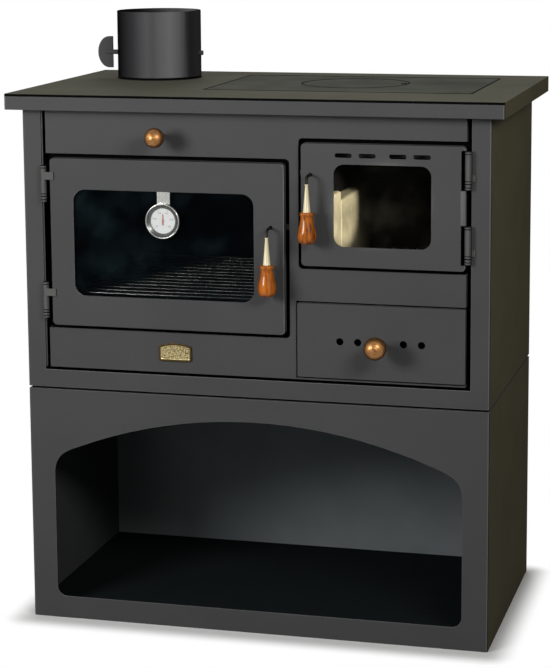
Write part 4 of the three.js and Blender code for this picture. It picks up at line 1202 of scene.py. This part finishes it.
def add_tabs(bm, node, x, y, split):
    """The node's flat tabs: a new one for the fire door's leaves, and for the others the node's
    own shape without the corners that make its barrel."""
    if node in ("fire_hinge_upper_leaf", "fire_hinge_lower_leaf"):
        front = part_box("casing_wrap")[0].y - FIT
        foot = split + TAB_RAISED
        add_box(bm, (x + BARREL_RADIUS / 2, front - TAB_SHEET, foot),
                (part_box(node)[1].x, front, foot + TAB_HEIGHT))
        return
    tabs = bare_copy(node)
    near, reach = PIN_RADIUS * 0.9, BARREL_RADIUS + 0.2 * MM
    round_barrel = [v for v in tabs.verts if near <= math.hypot(v.co.x - x, v.co.y - y) < reach]
    bmesh.ops.delete(tabs, geom=round_barrel, context="VERTS")
    absorb(bm, tabs)


# ---------------------------------------------------------------- handles and knobs
GRIP_SHAPE = (  # share of the belly's radius, share of the length
    (0.0, 0.0), (0.5, 0.0), (0.66, 0.012), (0.8, 0.045), (0.91, 0.1), (0.98, 0.175), (1.0, 0.25),
    (0.985, 0.33), (0.93, 0.42), (0.855, 0.51), (0.785, 0.6), (0.73, 0.69), (0.69, 0.77),
    (0.665, 0.825), (0.668, 0.86), (0.69, 0.88), (0.735, 0.895), (0.752, 0.92), (0.755, 0.96),
    (0.74, 0.985), (0.7, 1.0), (0.0, 1.0))
FERRULE_THIN = 0.4  # the ferrule's top for its foot
ROD_RADIUS, ROD_BEND, BEND_STEPS = 2.1 * MM, 10 * MM, 8
TONGUE, TONGUE_HALF = 3 * MM, 4.5 * MM  # the latch tongue's thickness and half its height


def make_handles():
    for door in ("oven", "fire"):
        low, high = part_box(door + "_handle_grip")
        x = (low.x + high.x) / 2
        y = (low.y + high.y) / 2
        make_grip(door, x, y)
        make_ferrule(door, x, y)
        make_rod(door, x, y)


def make_grip(door, x, y):
    """Turned grip: a rounded foot, a full belly, a waist and a lip with a bead groove."""
    node = door + "_handle_grip"
    low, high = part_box(node)
    belly = (high.x - low.x) / 2
    length = high.z - low.z
    profile = [(r * belly, low.z + share * length) for r, share in GRIP_SHAPE]
    settle(turned(node + "_turned", LACQUER, profile, (x, y, 0), smooth=math.radians(60)),
           "lacquered_wood", node)


def make_ferrule(door, x, y):
    node = door + "_handle_ferrule"
    low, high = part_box(node)
    foot, top = low.z, high.z
    wide = (high.x - low.x) / 2
    thin = FERRULE_THIN * wide
    profile = [(0, foot), (wide * 0.97, foot), (wide, foot + 0.5 * MM), (wide, foot + 2 * MM),
               (wide * 0.94, foot + 2.6 * MM), (thin, top - 4 * MM), (thin + 0.1 * MM, top - 2 * MM),
               (thin + 0.5 * MM, top - 0.8 * MM), (thin + 0.3 * MM, top), (0, top)]
    settle(turned(node + "_turned", IVORY, profile, (x, y, 0), segments=36), "ivory", node)


def make_rod(door, x, grip_y):
    """The cranked rod from its latch tongue through the door to the ferrule."""
    node = door + "_handle_rod"
    low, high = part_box(node)
    ferrule_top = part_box(door + "_handle_ferrule")[1].z
    z = high.z - TONGUE_HALF
    path = [Vector((x, high.y - TONGUE, z)), Vector((x, grip_y + ROD_BEND, z))]
    for i in range(1, BEND_STEPS + 1):
        a = math.radians(90 * i / BEND_STEPS)
        path.append(Vector((x, grip_y + ROD_BEND - ROD_BEND * math.sin(a),
                            z - ROD_BEND + ROD_BEND * math.cos(a))))
    path.append(Vector((x, grip_y, ferrule_top + FIT)))
    bm = bmesh.new()
    add_tube(bm, path, ROD_RADIUS)
    add_box(bm, (low.x, high.y - TONGUE, z - TONGUE_HALF), (high.x, high.y, z + TONGUE_HALF),
            edge=0.6 * MM)
    settle(make_object(node + "_bent", bm, DARK_STEEL), "dark_steel", node)


KNOB_STEPS, KNOB_SWEEP = 33, math.pi * 0.905  # the ball's outline, from its front to its neck
KNOB_NECK = 5 * MM
RING_AT, RING_SPAN, RING_DIP = math.radians(24), 0.05, 0.22 * MM  # the ring on the ball's face


def make_knob(node):
    """A ball on a short neck, with a collar behind it and a shallow ring on its face."""
    low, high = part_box(node)
    radius = (high.x - low.x) / 2
    centre = low.y + radius
    neck, back = KNOB_NECK, high.y
    profile = [(0, low.y)]
    for i in range(1, KNOB_STEPS + 1):
        a = KNOB_SWEEP * i / KNOB_STEPS
        reach = radius - RING_DIP * math.exp(-((a - RING_AT) / RING_SPAN) ** 2)
        profile.append((reach * math.sin(a), centre - reach * math.cos(a)))
    profile += [(neck, centre + radius * 0.965), (neck, back - 3.2 * MM),
                (neck + 1.6 * MM, back - 2.8 * MM), (neck + 2 * MM, back - 1.6 * MM),
                (neck + 1.6 * MM, back - 0.4 * MM), (neck + 1.2 * MM, back), (0, back)]
    ball = turned(node + "_turned", COPPER, profile,
                  ((low.x + high.x) / 2, 0, (low.z + high.z) / 2), axis="Y", segments=56,
                  smooth=math.radians(40))
    settle(ball, "copper", node)


# ---------------------------------------------------------------- thermometer and badge
DIAL_SEEN = 19.8 * MM  # radius of the white disc inside its bezel
LENS_RADIUS = 22.4 * MM
CASE_CORNER, CASE_RIM = 2 * MM, 1.1 * MM  # radii of the case's back corner and of its front rim
ROUND = {"axis": "Y", "segments": 64}


def make_thermometer():
    low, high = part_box("thermometer_case")
    x, z = (low.x + high.x) / 2, (low.z + high.z) / 2
    centre = (x, 0, z)
    r = (high.x - low.x) / 2
    front, back = low.y, high.y
    dial_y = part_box("thermometer_dial")[0].y
    well, inner_back = r - 2.3 * MM, back - CASE_CORNER
    profile = (
        [(0, back)] + arc((r - CASE_CORNER, inner_back), CASE_CORNER, 90, 0, 4)
        + arc((r - CASE_RIM, front + CASE_RIM), CASE_RIM, 0, -180, 10)
        + [(well, dial_y - 0.1 * MM), (well, inner_back), (0, inner_back)])
    case = turned("thermometer_case_turned", BRIGHT_STEEL, profile, centre, **ROUND)
    outer = r - 2.4 * MM
    ring = [(outer, front + 0.7 * MM), (DIAL_SEEN + 0.5 * MM, dial_y - 0.7 * MM),
            (DIAL_SEEN, dial_y - 0.5 * MM), (DIAL_SEEN, dial_y - 0.1 * MM),
            (outer, dial_y - 0.1 * MM)]
    bezel = turned("thermometer_bezel", BEZEL_STEEL, ring, centre, closed=True, **ROUND)
    settle(joined("thermometer_case_finished", case, bezel), "bright_steel", "thermometer_case")
    finish_node("thermometer_strap", "bright_steel", BRIGHT_STEEL, edge=0.3 * MM)
    low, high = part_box("thermometer_lens")
    lens = turned("thermometer_lens_ground", LENS_GLASS,
                  [(0, high.y), (LENS_RADIUS, high.y), (LENS_RADIUS, low.y + 0.3 * MM),
                   (LENS_RADIUS - 0.3 * MM, low.y), (0, low.y)], centre, **ROUND)
    settle(lens, "glass", "thermometer_lens")
    finish_node("thermometer_dial", "dial_white", DIAL_WHITE, edge=0.2 * MM)
    make_dial_marks(x, z, dial_y)
    make_needle(x, z)


DIAL_FIRST, DIAL_LAST, DIAL_STEP = 50, 300, 50  # printed numbers, degrees Celsius
DIAL_SWEEP = math.radians(260)
MARK_DEPTH = 0.12 * MM
NUMBERS_AT, NUMBER_SIZE = 13.2 * MM, 3.8 * MM
SHORT_TICKS = 5  # from one number to the next


def make_dial_marks(x, z, face):
    """Printed ticks round the dial and plain numbers inside them."""
    numbers = range(DIAL_FIRST, DIAL_LAST + 1, DIAL_STEP)
    gaps = len(numbers) - 1
    start = -DIAL_SWEEP / 2
    marks = []
    for name, count, radius, half, high in (
            ("long", gaps + 1, 17.6 * MM, 0.3 * MM, 2.2 * MM),
            ("short", SHORT_TICKS * gaps + 1, 18.2 * MM, 0.15 * MM, 1.1 * MM)):
        tick = plate(name + "_tick", DIAL_INK, (-half, -MARK_DEPTH, -high / 2),
                     (half, 0, high / 2), edge=0.03 * MM)
        marks.append(repeated(name + "_ticks", RING, tick, DIAL_INK, Count=count, Start=start,
                              Step=DIAL_SWEEP / (count - 1), Radius=radius,
                              Centre=Vector((x, face, z))))
    for i, number in enumerate(numbers):
        a = start + DIAL_SWEEP * i / gaps
        marks.append(printed_number(str(number), x + NUMBERS_AT * math.sin(a), face,
                                    z + NUMBERS_AT * math.cos(a)))
    settle(joined("thermometer_marks", *marks), "dial_white", body="oven_door")


def printed_number(words, x, face, z):
    data = bpy.data.curves.new("number", "FONT")
    data.body = words
    data.size = NUMBER_SIZE
    data.extrude = MARK_DEPTH / 2
    data.align_x = "CENTER"
    data.align_y = "CENTER"
    data.resolution_u = 2
    writing = add_to_scene("number", data)
    mesh = plain_mesh(writing)
    bpy.data.objects.remove(writing)
    mesh.transform(Matrix.Translation((x, face - MARK_DEPTH / 2, z))
                   @ Matrix.Rotation(math.pi / 2, 4, "X"))
    mesh.materials.clear()
    mesh.materials.append(DIAL_INK)
    return add_to_scene("number_" + words, mesh)


def make_needle(x, z):
    low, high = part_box("thermometer_needle")
    tail, tip = z - 6.6 * MM, z + 11 * MM
    bm = bmesh.new()
    outline = [(-1.2 * MM, tail), (1.2 * MM, tail), (1.1 * MM, z), (0.6 * MM, tip),
               (-0.6 * MM, tip), (-1.1 * MM, z)]
    fronts, backs = ([bm.verts.new((x + dx, y, at)) for dx, at in outline]
                     for y in (low.y + 0.3 * MM, low.y + 1 * MM))
    bm.faces.new(fronts)
    bm.faces.new(backs[::-1])
    skin_rings(bm, [fronts, backs])
    bmesh.ops.recalc_face_normals(bm, faces=bm.faces)
    add_turned(bm, [(0, high.y), (1.7 * MM, high.y), (1.7 * MM, low.y + 0.4 * MM),
                    (1.2 * MM, low.y), (0, low.y)], (x, 0, z), "Y", segments=28)
    settle(make_object("thermometer_needle_shaped", bm, NEEDLE_RED), "needle_red",
           "thermometer_needle")


BADGE_RIM, BADGE_SLOPE = 2.6 * MM, 0.9 * MM  # widths of the rim and of the slope inside it
BADGE_FIELD = 1.0 * MM  # how far the field lies below the rim
FIELD_FACING, SLOPE_FACING = 0.9, 0.3  # a normal's part to the front on the field and the slope


def make_badge():
    """A cast plate with an arched top and a raised rim round a bare, grained field."""
    bm = bare_copy("badge_plate")
    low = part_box("badge_plate")[0]
    front = [f for f in bm.faces if f.calc_center_median().y < low.y + 0.1 * MM]
    bmesh.ops.inset_region(bm, faces=front, thickness=BADGE_RIM, use_even_offset=True)
    bmesh.ops.inset_region(bm, faces=front, thickness=BADGE_SLOPE, depth=-BADGE_FIELD,
                           use_even_offset=True)
    ease(bm, sharp_edges(bm), 0.3 * MM, 2)
    floor = low.y + BADGE_FIELD - 0.1 * MM
    for face in bm.faces:
        middle = face.calc_center_median()
        out = -face.normal.y
        if out > FIELD_FACING and middle.y > floor:
            face.material_index = 1
        elif SLOPE_FACING < out < FIELD_FACING and low.y + 0.3 * MM < middle.y < floor:
            face.material_index = 2
    # the slope inside the rim takes the lighter brass as a painted highlight
    settle(make_object("badge_plate_cast", bm, BRASS, BRASS_FIELD, BRASS_HIGHLIGHT, even=True),
           "brass", "badge_plate")


# ---------------------------------------------------------------- oven and firebox
RACK_WIRES = 12
WIRE, FRAME_WIRE = 2.5 * MM, 3 * MM  # radii
WIRE_SIDES = 12
FRAME_CORNER = 9 * MM


def make_oven():
    finish_node("oven_liner", "inner_steel", OVEN_STEEL)
    low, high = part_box("oven_rack")
    x0, x1 = low.x + FRAME_WIRE, high.x - FRAME_WIRE
    y0, y1 = low.y + FRAME_WIRE, high.y - FRAME_WIRE
    z = high.z - FRAME_WIRE
    bm = bmesh.new()
    add_ring_wire(bm, x0, x1, y0, y1, z)
    add_tube(bm, [Vector(((x0 + x1) / 2, y, z - WIRE)) for y in (y0, y1)], WIRE, WIRE_SIDES)
    frame_wire = make_object("rack_frame", bm, RACK_STEEL)
    bm = bmesh.new()
    add_tube(bm, [Vector((x, 0, 0)) for x in (x0, x1)], WIRE, WIRE_SIDES)
    wire = make_object("rack_wire", bm, RACK_STEEL)
    step = (y1 - y0) / (RACK_WIRES + 1)
    wires = repeated("rack_wires", ROW, wire, RACK_STEEL, Count=RACK_WIRES,
                     Start=Vector((0, y0 + step, z)), Step=Vector((0, step, 0)))
    settle(joined("oven_rack_wires", frame_wire, wires), "bright_steel", "oven_rack")


def add_ring_wire(bm, x0, x1, y0, y1, z):
    """The rack's outer wire, bent round at its corners."""
    rings = []
    for x, y, out_x, out_y in round_rectangle(x0, x1, y0, y1, FRAME_CORNER, 5):
        rings.append([
            bm.verts.new((x + out_x * FRAME_WIRE * math.cos(a),
                          y + out_y * FRAME_WIRE * math.cos(a), z + FRAME_WIRE * math.sin(a)))
            for a in angles(WIRE_SIDES)])
    skin_rings(bm, rings, closed=True)


def make_firebox():
    finish_node("firebox_shell", "inner_steel", FIRE_STEEL)
    for node in ("firebox_floor", "fire_grate"):
        finish_node(node, "cast_iron", CAST_IRON, edge=HOB_EDGE)
    for name, finish in (("left_front", BRICK_CLEAN), ("right_front", BRICK_SOOTY),
                         ("left_rear", BRICK_CLEAN), ("right_rear", BRICK_SOOTY),
                         ("back", BRICK_SOOTY)):
        make_brick("firebrick_" + name, finish)
    finish_node("smoke_baffle", "inner_steel", FIRE_STEEL)
    finish_node("bypass_damper", "inner_steel", INNER_STEEL)


BRICK_EDGE, BRICK_VOXEL, BRICK_WEAR = 3 * MM, 3 * MM, 1.6 * MM
PIT_SIZE = 14 * MM


def make_brick(node, finish):
    """A pressed brick: worn edges and a pitted skin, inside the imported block."""
    brick = plate(node + "_pressed", finish, *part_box(node), BRICK_EDGE, smooth=math.radians(80))
    remesh = brick.modifiers.new("even_skin", "REMESH")
    remesh.mode = "VOXEL"
    remesh.voxel_size = BRICK_VOXEL
    remesh.use_smooth_shade = True
    pits = bpy.data.textures.new(node + "_pits", "CLOUDS")
    pits.noise_scale = PIT_SIZE
    pits.noise_depth = 3
    wear = brick.modifiers.new("pits", "DISPLACE")
    wear.texture = pits
    wear.texture_coords = "LOCAL"
    wear.strength = BRICK_WEAR
    wear.mid_level = 1.0
    plain = plain_mesh(brick)
    brick.modifiers.clear()
    brick.data = plain
    settle(brick, "firebrick", node)


# ---------------------------------------------------------------- small fixings
def make_fixings():
    """Screws that hold the back panel and the plinth's back."""
    for node in ("back_panel", "plinth_back"):
        low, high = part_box(node)
        for number, z in enumerate((low.z + 12 * MM, high.z - 14 * MM), 1):
            screw_row(f"{node}_screws_{number}", node, 5, 14 * MM, z, 4 * MM, "stove")


bpy.context.scene.view_settings.view_transform = "Standard"
make_camera()
make_world()
make_lamps()
make_floor()
make_shell()
make_worktop()
make_flue()
make_doors()
make_hinges()
make_handles()
make_knob("drawer_knob")
make_knob("bypass_knob")
make_thermometer()
make_badge()
make_oven()
make_firebox()
make_fixings()
